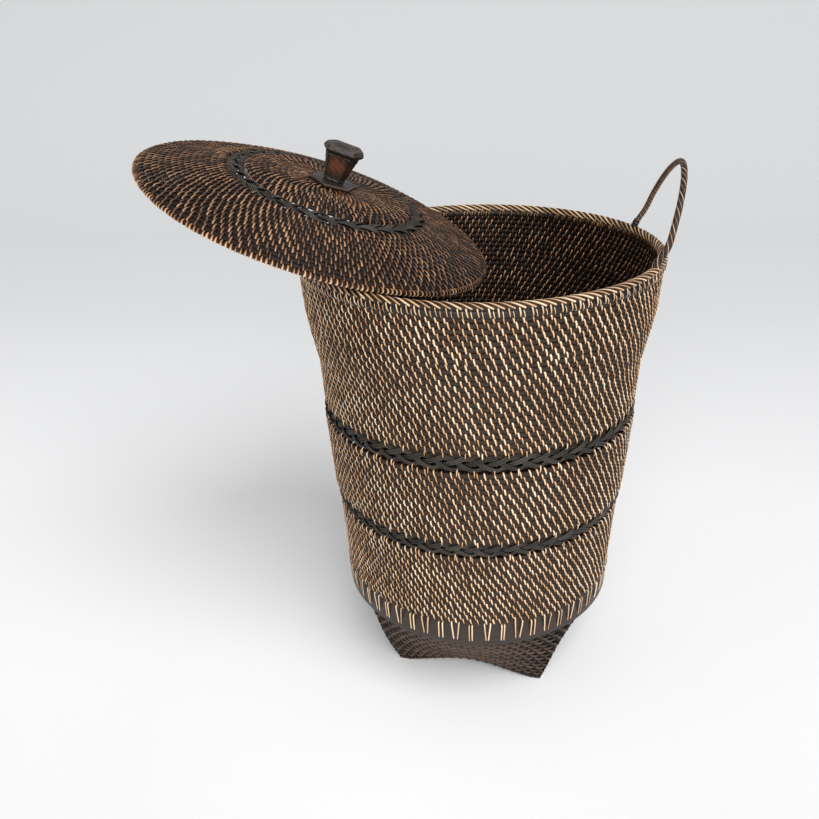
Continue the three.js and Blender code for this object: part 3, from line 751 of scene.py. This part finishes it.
def wall_band(name, bottom, first_tip):
    middle = bottom + BAND_HEIGHT / 2

    def lay(turns, across, out):
        heights = middle + across
        points, outward = ring(turns, wall_radius(heights) - ROD_INSET + out, heights)
        return points, tilted(outward, (0.0, 0.0, 1.0), across * 0.06)

    strands = plait(BAND_PERIODS, 6.7, 1.7, lay, first_tip)
    strips(name + "_plait", strands, BASKET, "dark_braid", name, BRAID_STRAND, BRAID)
    # Dark strips behind the slots at the band's edges, where the plait is open: painted shade that fills the
    # slots, laid like core rods that the plait is tied to
    slot_shade = [(*lay(even_turns(144), across, SLOT_SHADE_OUT), 1.0, True) for across in (-8.2, 8.2)]
    strips(name + "_backing", slot_shade, BASKET, "dark_braid", name, SLOT_SHADE_STRIP, ROD)
    ties = [
        wall_row(height, count=3 * BAND_PERIODS, phase=first_tip + beside) for height, beside in
        ((bottom + BAND_HEIGHT - 0.5, 0.0), (bottom + 0.5, math.pi / 3 / BAND_PERIODS))]
    stitches(name + "_ties", ties, BASKET, name, BAND_TIE, CANE, seed=23, uneven=1.2, wander=1.0)


wall_band("braid_lower", LOWER_BAND, math.radians(-1.45))
wall_band("braid_upper", UPPER_BAND, math.radians(-0.24))


# Rim: a rod bound over with cane that runs forward as it goes round, and a row of stitches below it
def wound(middle, side, lift, girth, angles, width):
    """One strand wound round a line, at the given angles round it."""
    angles = np.reshape(angles, (-1, 1))
    outward = np.cos(angles) * side + np.sin(angles) * lift
    return middle + np.asarray(girth).reshape(-1, 1) * outward, outward, width, False


RIM_STITCHES = 131
RIM_GIRTH = 4.6
RIM_HOOP_HEIGHT = 537.5


def rim_strands(beside, width):
    """Strands that come up inside the rim, lean forward over its top and end on its outside."""
    lift = np.array((0.0, 0.0, 1.0))
    angles = np.radians(np.linspace(215, 5, 18))
    lines = []
    for k in range(RIM_STITCHES):
        turns = (k + beside) * math.tau / RIM_STITCHES + 0.0475 * (math.radians(30) - angles)
        middle, side = ring(turns, RIM_RADIUS, RIM_HEIGHT)
        lines.append(wound(middle, side, lift, RIM_GIRTH, angles, width))
    return lines


def rim():
    strands = {"dark": rim_strands(0.42, 0.5) + rim_strands(0.7, 0.5), "pale": rim_strands(0.0, 1.22)}
    for label, finish in (("dark", DARK_CANE), ("pale", EDGE_CANE)):
        name = f"rim_{label}_strands"
        strips(name, strands[label], BASKET, "coil_cane", "rim_binding", SPLIT_STRIP, finish)
    core = [{"height": RIM_HEIGHT, "radius": RIM_RADIUS}]
    rods("rim_core", core, BASKET, "rim_binding", oval(4.1, 4.1, 14), DARK_CANE, facets=160)
    for node, radius in (("rim_hoop_outer", 205.4), ("rim_hoop_inner", 199.6)):
        line = hoop_line(radius, RIM_HOOP_HEIGHT, 160)
        strips(node + "_strip", [line], BASKET, "stitch_cane", node, FLAT_STRIP, DARK_CANE)
    for label, height, beside, under in (
            ("long", 540.6, 0.0, loop(12.8, 5.3, 2.1, 1.0)),
            ("short", 537.4, 0.45, loop(8.5, 4.6, 1.3, 0.9))):
        row = [{
            "height": height, "radius": RIM_RADIUS, "count": RIM_STITCHES,
            "phase": beside * math.tau / RIM_STITCHES, "slant": -0.2}]
        stitches(f"rim_{label}_stitches", row, BASKET, "rim_binding", under, EDGE_CANE, seed=31, uneven=0.6)


rim()


# Handles: an arch of rod in the wall, wound with cane, tight on the back leg and long on the front
HANDLE_HALF = math.radians(24.7)
HANDLE_RISE = 93
HANDLE_ARCH = RIM_RADIUS + 5.3
HANDLE_STEP = 0.8
TIED_POINTS = 12
RIM_TOP = 549.0
WALL_TOP = 541.0


def along_line(line, stations, at):
    """A line's points, read at the given stations along it."""
    return np.stack([np.interp(at, stations, line[:, k]) for k in range(3)], 1)


def smooth_line(points, spacing):
    """A smooth line through the points, resampled evenly."""
    points = np.asarray(points, float)
    points = np.vstack([2 * points[0] - points[1], points, 2 * points[-1] - points[-2]])
    made = []
    for a, b, c, d in zip(points, points[1:], points[2:], points[3:]):
        steps = [max(np.linalg.norm(q - p), 1e-6) ** 0.5 for p, q in ((a, b), (b, c), (c, d))]
        knots = np.concatenate([[0], np.cumsum(steps)])
        for t in np.linspace(knots[1], knots[2], 12, endpoint=False):
            def between(p, q, i, j):
                return p + (q - p) * (t - knots[i]) / (knots[j] - knots[i])
            ab, bc, cd = between(a, b, 0, 1), between(b, c, 1, 2), between(c, d, 2, 3)
            made.append(between(between(ab, bc, 0, 2), between(bc, cd, 1, 3), 1, 2))
    made.append(points[-2])
    made = np.array(made)
    run = np.concatenate([[0], np.cumsum(np.linalg.norm(np.diff(made, axis=0), axis=1))])
    return along_line(made, run, np.linspace(0, run[-1], int(run[-1] / spacing)))


def handle_line(side):
    """The arch of one handle, from the back to the front, leaning as its CAD stake leans."""
    low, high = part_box(f"handle_{side}_stake")
    sign = 1 if side == "right" else -1
    reach = max(sign * (corner.x - BASKET_MIDDLE.x) for corner in (low, high)) / MM - 1.5
    lean = math.asin((reach - HANDLE_ARCH * math.cos(HANDLE_HALF)) / HANDLE_RISE)
    foot_x, foot_y = RIM_RADIUS * math.cos(HANDLE_HALF), RIM_RADIUS * math.sin(HANDLE_HALF)
    upright = [WALL_TOP - 23.7, WALL_TOP - 12, WALL_TOP, RIM_TOP]
    points = [(foot_x, foot_y, z) for z in upright]
    for t in math.pi * np.arange(1, 12) / 12:
        across = math.copysign(abs(math.cos(t)) ** (2 / 1.8), math.cos(t))
        up = math.sin(t) ** (2 / 1.8) * HANDLE_RISE
        points.append((
            HANDLE_ARCH * math.cos(HANDLE_HALF) + up * math.sin(lean),
            across * HANDLE_ARCH * math.sin(HANDLE_HALF), RIM_TOP + up * math.cos(lean)))
    points += [(foot_x, -foot_y, z) for z in reversed(upright)]
    return smooth_line(points, HANDLE_STEP) * np.array((sign, 1, 1))


def line_frame(line):
    """Two directions across a handle's line: away from the basket, and along its arch's inside."""
    tangent = np.gradient(line, axis=0)
    tangent /= np.linalg.norm(tangent, axis=1)[:, None]
    side = np.cross(tangent, (1.0, 0.0, 0.0))
    side /= np.linalg.norm(side, axis=1)[:, None]
    return side, np.cross(side, tangent)


def handle(side):
    line = handle_line(side)
    across, away = line_frame(line)
    name = f"handle_{side}"
    core = [(line, across, 2.55, False)]
    strips(f"{name}_core", core, BASKET, "coil_cane", f"{name}_stake", ROUND_STRIP, ROD)
    clear = np.flatnonzero(line[:, 2] > RIM_TOP - 2)
    bound, across, away = line[clear], across[clear], away[clear]
    part = np.linspace(0, 1, len(bound))
    front = np.clip((part - 0.42) / 0.2, 0, 1)
    front = front * front * (3 - 2 * front)
    pitch = 9.6 + 27 * front
    angles = math.tau * np.cumsum(HANDLE_STEP / pitch)
    girth = 2.85 + 1.1 * np.clip((part - 0.86) / 0.14, 0, 1) ** 1.5
    strands = {"dark": [], "pale": []}
    for start in range(4):
        base = angles + start * math.tau / 4
        for label, beside, rise, width in (
                ("dark", -0.5, 0.0, 0.72 + 0.2 * front), ("dark", 0.05, 0.0, 0.72 + 0.2 * front),
                ("pale", 0.6, 0.2, 0.4 + 0.18 * front)):
            strands[label].append(wound(bound, across, away, girth + rise, base + beside, width))
    for label, finish in (("dark", DARK_CANE), ("pale", LID_CANE)):
        wrap = f"{name}_wrap"
        strips(f"{name}_{label}_winding", strands[label], BASKET, "coil_cane", wrap, SPLIT_STRIP, finish)
    at = np.linspace(0, TIED_POINTS - 1, 60)
    for place, part in (("back", slice(0, TIED_POINTS)), ("front", slice(-TIED_POINTS, None))):
        leg = [along_line(line[part], np.arange(TIED_POINTS), at) for line in (bound, across, away)]
        tie = wound(*leg, 3.7, np.linspace(0, 3.2 * math.tau, 60), 1.0)
        node = f"{name}_lashing_{place}"
        strips(f"{name}_tie_{place}", [tie], BASKET, "stitch_cane", node, SPLIT_STRIP, DARK_CANE)


handle("right")
handle("left")


# Hoop round the joint between foot and wall, tied on in open and close pairs by turns
HOOP_TIES = 29
HOOP_RADIUS = 168.8
HOOP_HEIGHT = 126.8
HOOP_LEAN = 0.1
HOOP_OUTLINE = [
    (-0.9, -15.0), (1.0, -15.0), (1.35, -13.5), (1.5, -5), (1.5, 5), (1.35, 13.5), (1.0, 15.0), (-0.9, 15.0),
    (-1.2, 0)]


def foot_hoop():
    outline = section([(out + across * HOOP_LEAN, across) for out, across in HOOP_OUTLINE])
    line = hoop_line(HOOP_RADIUS, HOOP_HEIGHT)
    strips("foot_hoop_strip", [line], BASKET, "dark_strip", "foot_hoop", outline, HOOP)
    rows = []
    for turned, height, length, top, bottom in (
            (0.0, HOOP_HEIGHT + 0.4, 1.0, 1.4, 0.55), (math.pi / HOOP_TIES, HOOP_HEIGHT - 1, 0.9, 0.6, 0.6)):
        for side in (-1, 1):
            shift = side * math.radians(top + bottom) / 2
            slant = math.atan2(side * math.radians(top - bottom) * 170, 31)
            rows.append({
                "height": height, "radius": HOOP_RADIUS + 0.4, "lean": HOOP_LEAN, "count": HOOP_TIES,
                "phase": math.radians(-96) + turned + shift, "slant": slant, "length": length})
    under = loop(33.0, 2.5, 2.3, 1.0, 12, 6.0)
    stitches("hoop_ties", rows, BASKET, "hoop_lacing", under, EDGE_CANE, seed=41, uneven=0.15)


foot_hoop()

# Foot: plaited, square at the floor and round at the top. The square is a little out of line, as in the photo
FOOT_HALF = 92.2
FOOT_TURN = math.radians(-5)
FOOT_HEIGHT = 111.5
FOOT_TOP = 164.6
FOOT_COLUMNS = 256
FOOT_LEVELS = 15
SPIGOT_LEVELS = 4
FOOT_ARCH = 16
FOOT_TWIST = math.radians(2.5)
FOOT_SHIFT = np.array((6.5, 0.5, 0.0))
SPIGOT_RISE = 29


def from_corner(angle):
    """How far an angle is from the nearest corner of the foot, from 0 there to 1 halfway along a side."""
    return np.abs(np.mod(angle, math.pi / 2) - math.pi / 4) / (math.pi / 4)


def foot_edge(angle):
    """How far the bottom edge arches up."""
    return FOOT_ARCH * np.sin(np.clip(from_corner(angle) * 1.1 - 0.1, 0, 1) * math.pi / 2)


def foot_level(part):
    """Angles and radii of a level, and its spacing: columns lie evenly along each side, two to an upright."""
    side = np.linspace(-math.pi / 4, math.pi / 4, 361)
    radius = FOOT_HALF / np.cos(side) * (1 - part) + FOOT_TOP * part
    x, y = radius * np.cos(side), radius * np.sin(side)
    run = np.concatenate([[0], np.cumsum(np.hypot(np.diff(x), np.diff(y)))])
    quarter = FOOT_COLUMNS // 4
    angles = np.interp(np.arange(quarter) / quarter * run[-1], run, side)
    radii = FOOT_HALF / np.cos(angles) * (1 - part) + FOOT_TOP * part
    angles = np.concatenate([angles + k * math.pi / 2 for k in range(4)])
    return angles, np.tile(radii, 4), run[-1] / quarter


def foot_place(angles, radii, part, heights):
    """Points of the foot, a part of the way from its square to its round top."""
    bulge = math.sin(math.pi * part) * (2 + 3 * np.clip(1 - from_corner(angles) * 1.6, 0, 1))
    points, _ = ring(angles + FOOT_TURN - FOOT_TWIST * (1 - part), radii + bulge, heights)
    return points + FOOT_SHIFT * (1 - part)


def plaited_foot():
    levels, pitches, slopes = [], [], []
    for j in range(FOOT_LEVELS + SPIGOT_LEVELS):
        part = min(1.0, (j + 0.45) / FOOT_LEVELS)
        angles, radii, pitch = foot_level(part)
        edge = foot_edge(angles)
        above = max(0.0, (j - FOOT_LEVELS + 0.45) / SPIGOT_LEVELS * SPIGOT_RISE)
        height = edge + part * (FOOT_HEIGHT - edge) + above
        levels.append(foot_place(angles, radii + above * 0.1, part, height))
        pitches.append(pitch)
        slopes.append(0.1 if above else math.atan2(FOOT_TOP - 115, FOOT_HEIGHT))
    middle = np.array(levels)
    along = np.roll(middle, -1, 1) - np.roll(middle, 1, 1)
    outward = np.stack([along[..., 1], -along[..., 0], np.zeros(along.shape[:2])], 2)
    outward /= np.linalg.norm(outward, axis=2)[..., None]
    slopes = np.array(slopes)[:, None, None]
    outward = outward * np.cos(slopes) - np.sin(slopes) * np.array((0.0, 0.0, 1.0))
    j, i = np.mgrid[0:len(levels), 0:FOOT_COLUMNS]
    over = (0.9 * np.cos(math.pi * (i / 2 + j)))[..., None]

    def foot_strips(name, lines, outline, finish):
        strips(name, lines, BASKET, "plait", "plaited_foot", outline, finish)

    level_lines = [(middle[k] + over[k] * outward[k], outward[k], 1.0, True) for k in range(len(levels))]
    foot_strips("foot_levels", level_lines, LEVEL_STRIP, PLAIT)
    uprights = [(middle[:, k] - over[:, k] * outward[:, k], outward[:, k], np.array(pitches) / 4.7, False)
                for k in range(0, FOOT_COLUMNS, 2)]
    foot_strips("foot_uprights", uprights, UPRIGHT_STRIP, DARK_PLAIT)
    # Painted shade: a dark sheet inside the plait, between its level strips and uprights, so that the gaps
    # read dark
    picked = list(range(0, len(levels), 3)) + [len(levels) - 1]
    outside = [middle[k] + 0.15 * outward[k] for k in picked]
    inside = [middle[k] - 0.15 * outward[k] for k in reversed(picked)]
    gap_shade = skin("foot_ground", outside + inside, closed=True)
    put("foot_ground", gap_shade, DARK_PLAIT, BASKET, "plait", "plaited_foot")
    low = 0.012
    turns, radii, _ = foot_level(low)
    points = foot_place(turns, radii, low, foot_edge(turns) + 1.7)
    foot_strips("foot_border", [(points, outward[0], 1.55, True)], ROUND_STRIP, HOOP)


PANEL_STRIPS = 26
PANEL_SHIFT = (6.4, 0.5, 0.0)


def bottom_panel():
    """Flat plait that fills the foot, domed a little so that it meets the arched edge all round."""
    pitch = 2 * FOOT_HALF / PANEL_STRIPS
    turn = np.array(Matrix.Rotation(FOOT_TURN - FOOT_TWIST, 3, "Z")).T
    run = -FOOT_HALF + pitch * (np.arange(PANEL_STRIPS) + 0.5)
    lines = []
    for way in range(2):
        for k, at in enumerate(run):
            lift = np.where((np.arange(PANEL_STRIPS) + k) % 4 < 2, 0.75, -0.75) * (1 - 2 * way)
            dome = 10 + 8.5 * (1 - np.abs(run * at) / FOOT_HALF ** 2)
            beside = np.full(PANEL_STRIPS, at)
            x, y = (run, beside) if way == 0 else (beside, run)
            points = np.stack([x, y, dome + lift], 1) @ turn + PANEL_SHIFT
            lines.append((points, (0.0, 0.0, 1.0), pitch / 7.4, False))
    strips("bottom_plait", lines, BASKET, "plait", "bottom_panel", FLAT_STRIP, PLAIT)


plaited_foot()
bottom_panel()

# Lid, in its own frame: the plane of its edge is z = 0 and its middle is the origin
LID_RADIUS = 206
LID_CROWN = 37
LID_FLAT = 70
FLANGE_RADIUS = 28
KNOB_OFFSET = 7.3
LID_BEND = math.radians(-150)


def lid_height(radius):
    return LID_CROWN * (1 - (np.maximum(radius, LID_FLAT) / LID_RADIUS) ** 2)


def lid_lean(radius):
    return math.pi / 2 + (math.atan(2 * LID_CROWN * radius / LID_RADIUS ** 2) if radius > LID_FLAT else 0.0)


def lid_shift(radius):
    return KNOB_OFFSET * (1 - np.maximum(0, radius - FLANGE_RADIUS) / (LID_RADIUS - FLANGE_RADIUS))


def lid_row(radius, **more):
    """A row at a radius of the lid, with what else a row says."""
    return {
        "height": float(lid_height(radius)), "radius": radius, "shift": float(lid_shift(radius)),
        "lean": lid_lean(radius), **more}


def lid_rows(inner, outer, rows, in_row, twist):
    made = []
    for k in range(rows):
        radius = inner + (outer - inner) * (k + 0.5) / rows
        made.append(lid_row(
            radius, count=in_row if radius > 32 else in_row // 2,
            phase=0.05 * math.sin(7.7 * k) * math.tau / in_row, drift=twist * (radius - outer),
            slant=math.radians(8), swing=math.radians(7)))
    return made


LID_SECTION = oval(3.45, 2.4)
LID_STITCH = loop(9.2, 2.9, 3.4, 1.2)


def lid_coils(name, rows, seed):
    rods(f"{name}_rods", rows, LID, name, LID_SECTION, LID_ROD, wander=0.8)
    stitches(f"{name}_stitches", rows, LID, name, LID_STITCH, LID_CANE, seed,
             uneven=0.5, wander=0.8, bend=LID_BEND)


lid_coils("lid_outer_coils", lid_rows(117.4, 200.6, 13, 122, 0.0043), 51)
lid_coils("lid_inner_coils", lid_rows(7.5, 95, 14, 61, 0.0097), 52)
LID_BAND_MIDDLE = 106.2
LID_PERIODS = 10
LOCATING_RADIUS = 186.0
LOCATING_OUTLINE = [
    (-1.7, -5.6), (1.7, -5.6), (2.0, -5.0), (2.0, 5.0), (1.7, 5.6), (-1.7, 5.6), (-2.0, 5.0), (-2.0, -5.0)]


def lid_band():
    """The lid's open plaited band, made in the same way as the wall's."""
    def lay(turns, across, out):
        radius = LID_BAND_MIDDLE + across
        points, outward = ring(turns, radius, lid_height(radius) + out)
        points[:, 0] += lid_shift(radius)
        return points, tilted(np.broadcast_to((0.0, 0.0, 1.0), points.shape), outward, across * 0.06)

    strips("lid_plait", plait(LID_PERIODS, 6.1, 1.7, lay), LID, "dark_braid", "lid_braid", LID_STRAND, BRAID)
    # Dark strips behind the slots at the band's edges, where the plait is open: painted shade that fills the
    # slots, laid like core rods that the plait is tied to
    slot_shade = [(*lay(even_turns(144), across, SLOT_SHADE_OUT), 1.0, True) for across in (-8.0, 8.0)]
    strips("lid_band_backing", slot_shade, LID, "dark_braid", "lid_braid", SLOT_SHADE_STRIP, LID_ROD)
    ties = [
        lid_row(radius, count=3 * LID_PERIODS, phase=beside) for radius, beside in
        ((LID_BAND_MIDDLE + 11, 0.0), (LID_BAND_MIDDLE - 11, math.pi / 3 / LID_PERIODS))]
    stitches("lid_band_ties", ties, LID, "lid_braid", BAND_TIE, LID_CANE, seed=53, uneven=1.2, wander=0.8)


def lid_edge():
    hoop = [{"height": 0.0, "radius": 202.8, "lean": math.pi / 2, "count": 244, "slant": 0.25}]
    rods("lid_edge_rod", hoop, LID, "lid_edge_hoop", oval(2.35, 2.35, 10), LID_ROD, facets=160)
    around = loop(6.2, 2.7, 3.5, 1.1, 12, 2.0)
    stitches("lid_edge_roll", hoop, LID, "lid_edge_hoop", around, LID_CANE, seed=54, uneven=0.6)
    line = hoop_line(LOCATING_RADIUS, -2.3)
    line[0][:, 0] += lid_shift(LOCATING_RADIUS)
    outline = section(LOCATING_OUTLINE)
    strips("lid_locating_strip", [line], LID, "dark_strip", "lid_locating_hoop", outline, HOOP)
    ties = [
        lid_row(LOCATING_RADIUS, height=-1.6, lean=0.0, count=60, phase=side * 0.012, slant=side * 0.1)
        for side in (-1, 1)]
    under = loop(13.6, 2.5, 2.0, 0.9, 12, 5.0)
    stitches("lid_locating_ties", ties, LID, "lid_locating_hoop", under, CANE, seed=55, uneven=0.6)


lid_band()
lid_edge()

# Knob, carved six-sided, with its flange, and the peg, washer and pin that hold it under the lid
KNOB_CORNERS = np.radians([0, 48, 132, 180, 228, 312])
FLANGE_BOTTOM = 36.05
KNOB_BOTTOM = 40.35


def six_sided(angles):
    """The unit outline of the knob: six flats of two widths, with slightly rounded corners."""
    total = np.zeros_like(angles)
    for first, second in zip(KNOB_CORNERS, np.roll(KNOB_CORNERS, -1)):
        gap = (second - first) % math.tau
        facing = first + gap / 2
        total += np.clip(np.cos(angles - facing) / math.cos(gap / 2), 0, None) ** 26
    return total ** (-1 / 26)


KNOB_SIDE = [
    (12.0, 0.0), (12.3, 0.5), (12.6, 2), (13.2, 5), (14.2, 9), (15.3, 13), (16.3, 17), (17.4, 21), (18.6, 25),
    (19.5, 28), (19.9, 29.6), (19.5, 30.2), (20.4, 30.8), (22.2, 32.2), (23.5, 33.6), (24.0, 34.7),
    (23.7, 35.7), (22.9, 37.2), (21.9, 38.9), (21.2, 39.7), (20.4, 40.1), (19.2, 40.0), (17.0, 39.9),
    (14.5, 40.2), (11.5, 40.7), (8.0, 41.1), (4.0, 41.4), (1.5, 41.5)]
KNOB_LEAN = 0.065


def knob():
    angles = even_turns(120)
    outline = six_sided(angles)
    off_corner = np.min(np.abs(np.angle(np.exp(1j * (angles[:, None] - KNOB_CORNERS[None])))), axis=1)
    radii, heights = np.array(KNOB_SIDE).T
    run = np.concatenate([[0], np.cumsum(np.hypot(np.diff(radii), np.diff(heights)))])
    stations = np.unique(np.concatenate([run, np.linspace(0, run[-1], 56)]))
    rings, edge, cut, rubbed = [], [], [], []
    for radius, height in zip(np.interp(stations, run, radii), np.interp(stations, run, heights)):
        def near(place, reach):
            return max(0.0, 1 - abs(height - place) / reach)
        round_off = np.clip((8 - radius) / 8, 0, 1)
        r = radius * (outline * (1 - round_off) + round_off)
        stem = 1.0 if 2 < height < 29 else 0.0
        r = r - stem * 0.45 * np.clip(off_corner / 0.4, 0, 1)
        top = 1.0 if height > 39.95 and radius < 18.5 else 0.0
        carving = top * np.clip(np.sin(3 * angles + radius * 0.55) * np.cos(radius * 0.9) * 2 - 0.6, 0, 1)
        r = r + 0.12 * np.sin(9 * angles + height) + 0.1 * np.sin(23 * angles - 1.7 * height)
        x = KNOB_OFFSET + KNOB_LEAN * height + r * np.cos(angles)
        rings.append(np.stack([x, r * np.sin(angles), KNOB_BOTTOM + height - 0.9 * carving], 1))
        at_edge = np.clip(1 - off_corner * radius / 1.6, 0, 1)
        lip = near(39.7, 0.8) * (1.0 if radius > 19 else 0.0) + near(34.7, 0.7) * 0.6
        edge.append(np.clip(at_edge * (0.75 if height > 30 else 0.45) + lip + top * 0.45, 0, 1.2))
        # Painted shade in the carved cuts on the top and in the groove below the collar
        cut.append(np.clip(carving + near(30.2, 0.7), 0, 1))
        # Red-brown in the middle of each flat of the stem, most at mid height
        rubbed.append(np.clip(off_corner / 0.35, 0, 1) * near(19, 13))
    wear_and_shade = {name: np.concatenate([*values, [0.0, 0.3]]) for name, values in
            (("edge", edge), ("cut", cut), ("rubbed", rubbed))}
    put("knob_carving", skin("knob_carving", rings), WOOD, LID, "carved_wood", "knob", **wear_and_shade)


FLANGE_EDGE = [
    (0.3, 0.0), (0.9, 0.0), (0.975, 0.15), (0.995, 0.8), (1.0, 2.2), (0.99, 3.0), (0.965, 3.5), (0.93, 3.75),
    (0.8, 4.0), (0.6, 4.25), (0.3, 4.3)]


def knob_flange():
    def corner(turn, radius=FLANGE_RADIUS):
        return np.array((math.cos(turn), math.sin(turn))) * radius

    outline = []
    for first in [math.radians(23 + 60 * k) for k in range(6)]:
        a, b, c = corner(first), corner(first + math.pi / 3), corner(first + math.pi / 6, 22.4)
        for t in np.arange(12) / 12:
            outline.append((1 - t) ** 2 * a + 2 * t * (1 - t) * c + t ** 2 * b)
    outline = np.array(outline)
    point = np.clip((np.hypot(outline[:, 0], outline[:, 1]) - 24.5) / 3.5, 0, 1)
    rings, edge = [], []
    for scale, height in FLANGE_EDGE:
        flat = np.full(len(outline), FLANGE_BOTTOM + height)
        rings.append(np.stack([KNOB_OFFSET + outline[:, 0] * scale, outline[:, 1] * scale, flat], 1))
        edge.append((0.95 if 0.93 < scale < 0.995 and height > 2.5 else 0.1) + 0.2 * point)
    worn = np.concatenate([*edge, [0.0, 0.0]])
    put("knob_flange_carving", skin("knob_flange_carving", rings), WOOD, LID, "carved_wood", "knob_flange",
        edge=worn, cut=worn * 0, rubbed=worn * 0 + 0.12)


def turned(name, node, outline, segments=40):
    """A round piece of wood about the knob's axis, from (radius, height) pairs going up its outside."""
    rings = []
    for radius, height in outline:
        points, _ = ring(even_turns(segments), np.full(segments, radius), height)
        points[:, 0] += KNOB_OFFSET
        rings.append(points)
    mesh = skin(name, rings)
    flat = np.zeros(len(mesh.vertices))
    put(name, mesh, WOOD, LID, "carved_wood", node, edge=flat + 0.2, cut=flat, rubbed=flat + 0.15)


def knob_fastening():
    under = float(lid_height(0)) - 3.3
    low = under - 4
    turned("knob_washer_disc", "knob_washer", [
        (6, low + 0.1), (16.6, low), (17.7, low + 0.5), (18, low + 1.2), (18, under - 1), (17.6, under - 0.2),
        (16, under)])
    turned("knob_peg_rod", "knob_peg", [
        (3.4, low - 10), (4.4, low - 9.6), (4.9, low - 8.6), (5, low - 6), (5, KNOB_BOTTOM + 9),
        (4, KNOB_BOTTOM + 10.8)], segments=24)
    pin = np.linspace(-11, 11, 16)
    points = np.stack([np.full(16, KNOB_OFFSET), pin, np.full(16, low - 1.8)], 1)
    girth = 1.45 * np.clip((11.6 - np.abs(pin)) / 1.2, 0.55, 1)
    line = (points, (0.0, 0.0, 1.0), girth, False)
    strips("knob_pin_peg", [line], LID, "stitch_cane", "knob_pin", ROUND_STRIP, CANE)


knob()
knob_flange()
knob_fastening()

for helper in helpers:
    bpy.data.objects.remove(helper)


# Pale floor and soft studio light
def add_floor():
    """A pale sheet that lies flat under the basket and curves up behind it, duller in front and far back as
    painted shade, and painted white near the foot as a pool of light that lifts the shadow there.
    """
    finish = Finish("floor")
    depth = finish.add("ShaderNodeSeparateXYZ", None, {"Vector": finish.place}, "Y")
    # Painted shade: the floor is darker towards the front and the far back
    sheet = finish.ramp(
        depth * 0.3 + 0.25, (0.02, (0.82, 0.82, 0.825)), (0.2, (0.96, 0.96, 0.965)),
        (0.36, (0.97, 0.97, 0.975)), (0.8, (0.72, 0.725, 0.73)))
    # Painted light: near the foot the floor turns white, which lifts the shadow round the basket's base
    from_foot = {0: finish.place, 1: (0.02, -0.16, 0.0)}
    apart = finish.add("ShaderNodeVectorMath", {"operation": "DISTANCE"}, from_foot, "Value")
    finish.end(finish.mixed(finish.kept(1.2 - apart * 3.4), sheet, (1.0, 1.0, 1.0, 1.0)), 0.8)
    start, bend = 1.3, 2.2
    turns = np.linspace(0, math.radians(75), 24)
    curve = [(start + bend * math.sin(turn), bend * (1 - math.cos(turn))) for turn in turns]
    line = [(-6.0, 0.0)] + curve + [(curve[-1][0] + 1, curve[-1][1] + 4)]
    mesh = bpy.data.meshes.new("floor")
    faces = [(2 * k, 2 * k + 1, 2 * k + 3, 2 * k + 2) for k in range(len(line) - 1)]
    mesh.from_pydata([(x, y, z) for y, z in line for x in (-9, 9)], [], faces)
    for polygon in mesh.polygons:
        polygon.use_smooth = True
    mesh.materials.append(finish.material)
    link("floor", mesh)


def aimed(name, data, place, aim=(0.05, 0, 0.3)):
    lamp = bpy.data.objects.new(name, data)
    lamp.location = place
    lamp.rotation_euler = (Vector(aim) - Vector(place)).to_track_quat("-Z", "Y").to_euler()
    bpy.context.scene.collection.objects.link(lamp)


def add_lamps():
    """A wide soft light from the front right, and one from beside the camera."""
    key = bpy.data.lights.new("key", "SUN")
    key.energy = 1.72
    key.angle = math.radians(42)
    aimed("key", key, (0.95, -1.2, 2.2))
    front = bpy.data.lights.new("front", "AREA")
    front.shape = "DISK"
    front.size = 1.6
    front.energy = 30
    aimed("front", front, (0.1, -2.2, 1.4))


def add_world():
    world = bpy.data.worlds.new("studio")
    world.use_nodes = True
    world.node_tree.nodes.clear()
    tree = Tree(world.node_tree)
    sky = tree.add("ShaderNodeBackground", None, {"Color": (0.97, 0.98, 1.0, 1.0), "Strength": 0.33})
    tree.add("ShaderNodeOutputWorld", None, {"Surface": sky})
    bpy.context.scene.world = world


add_floor()
add_world()
add_lamps()
bpy.context.scene.view_settings.view_transform = "Standard"
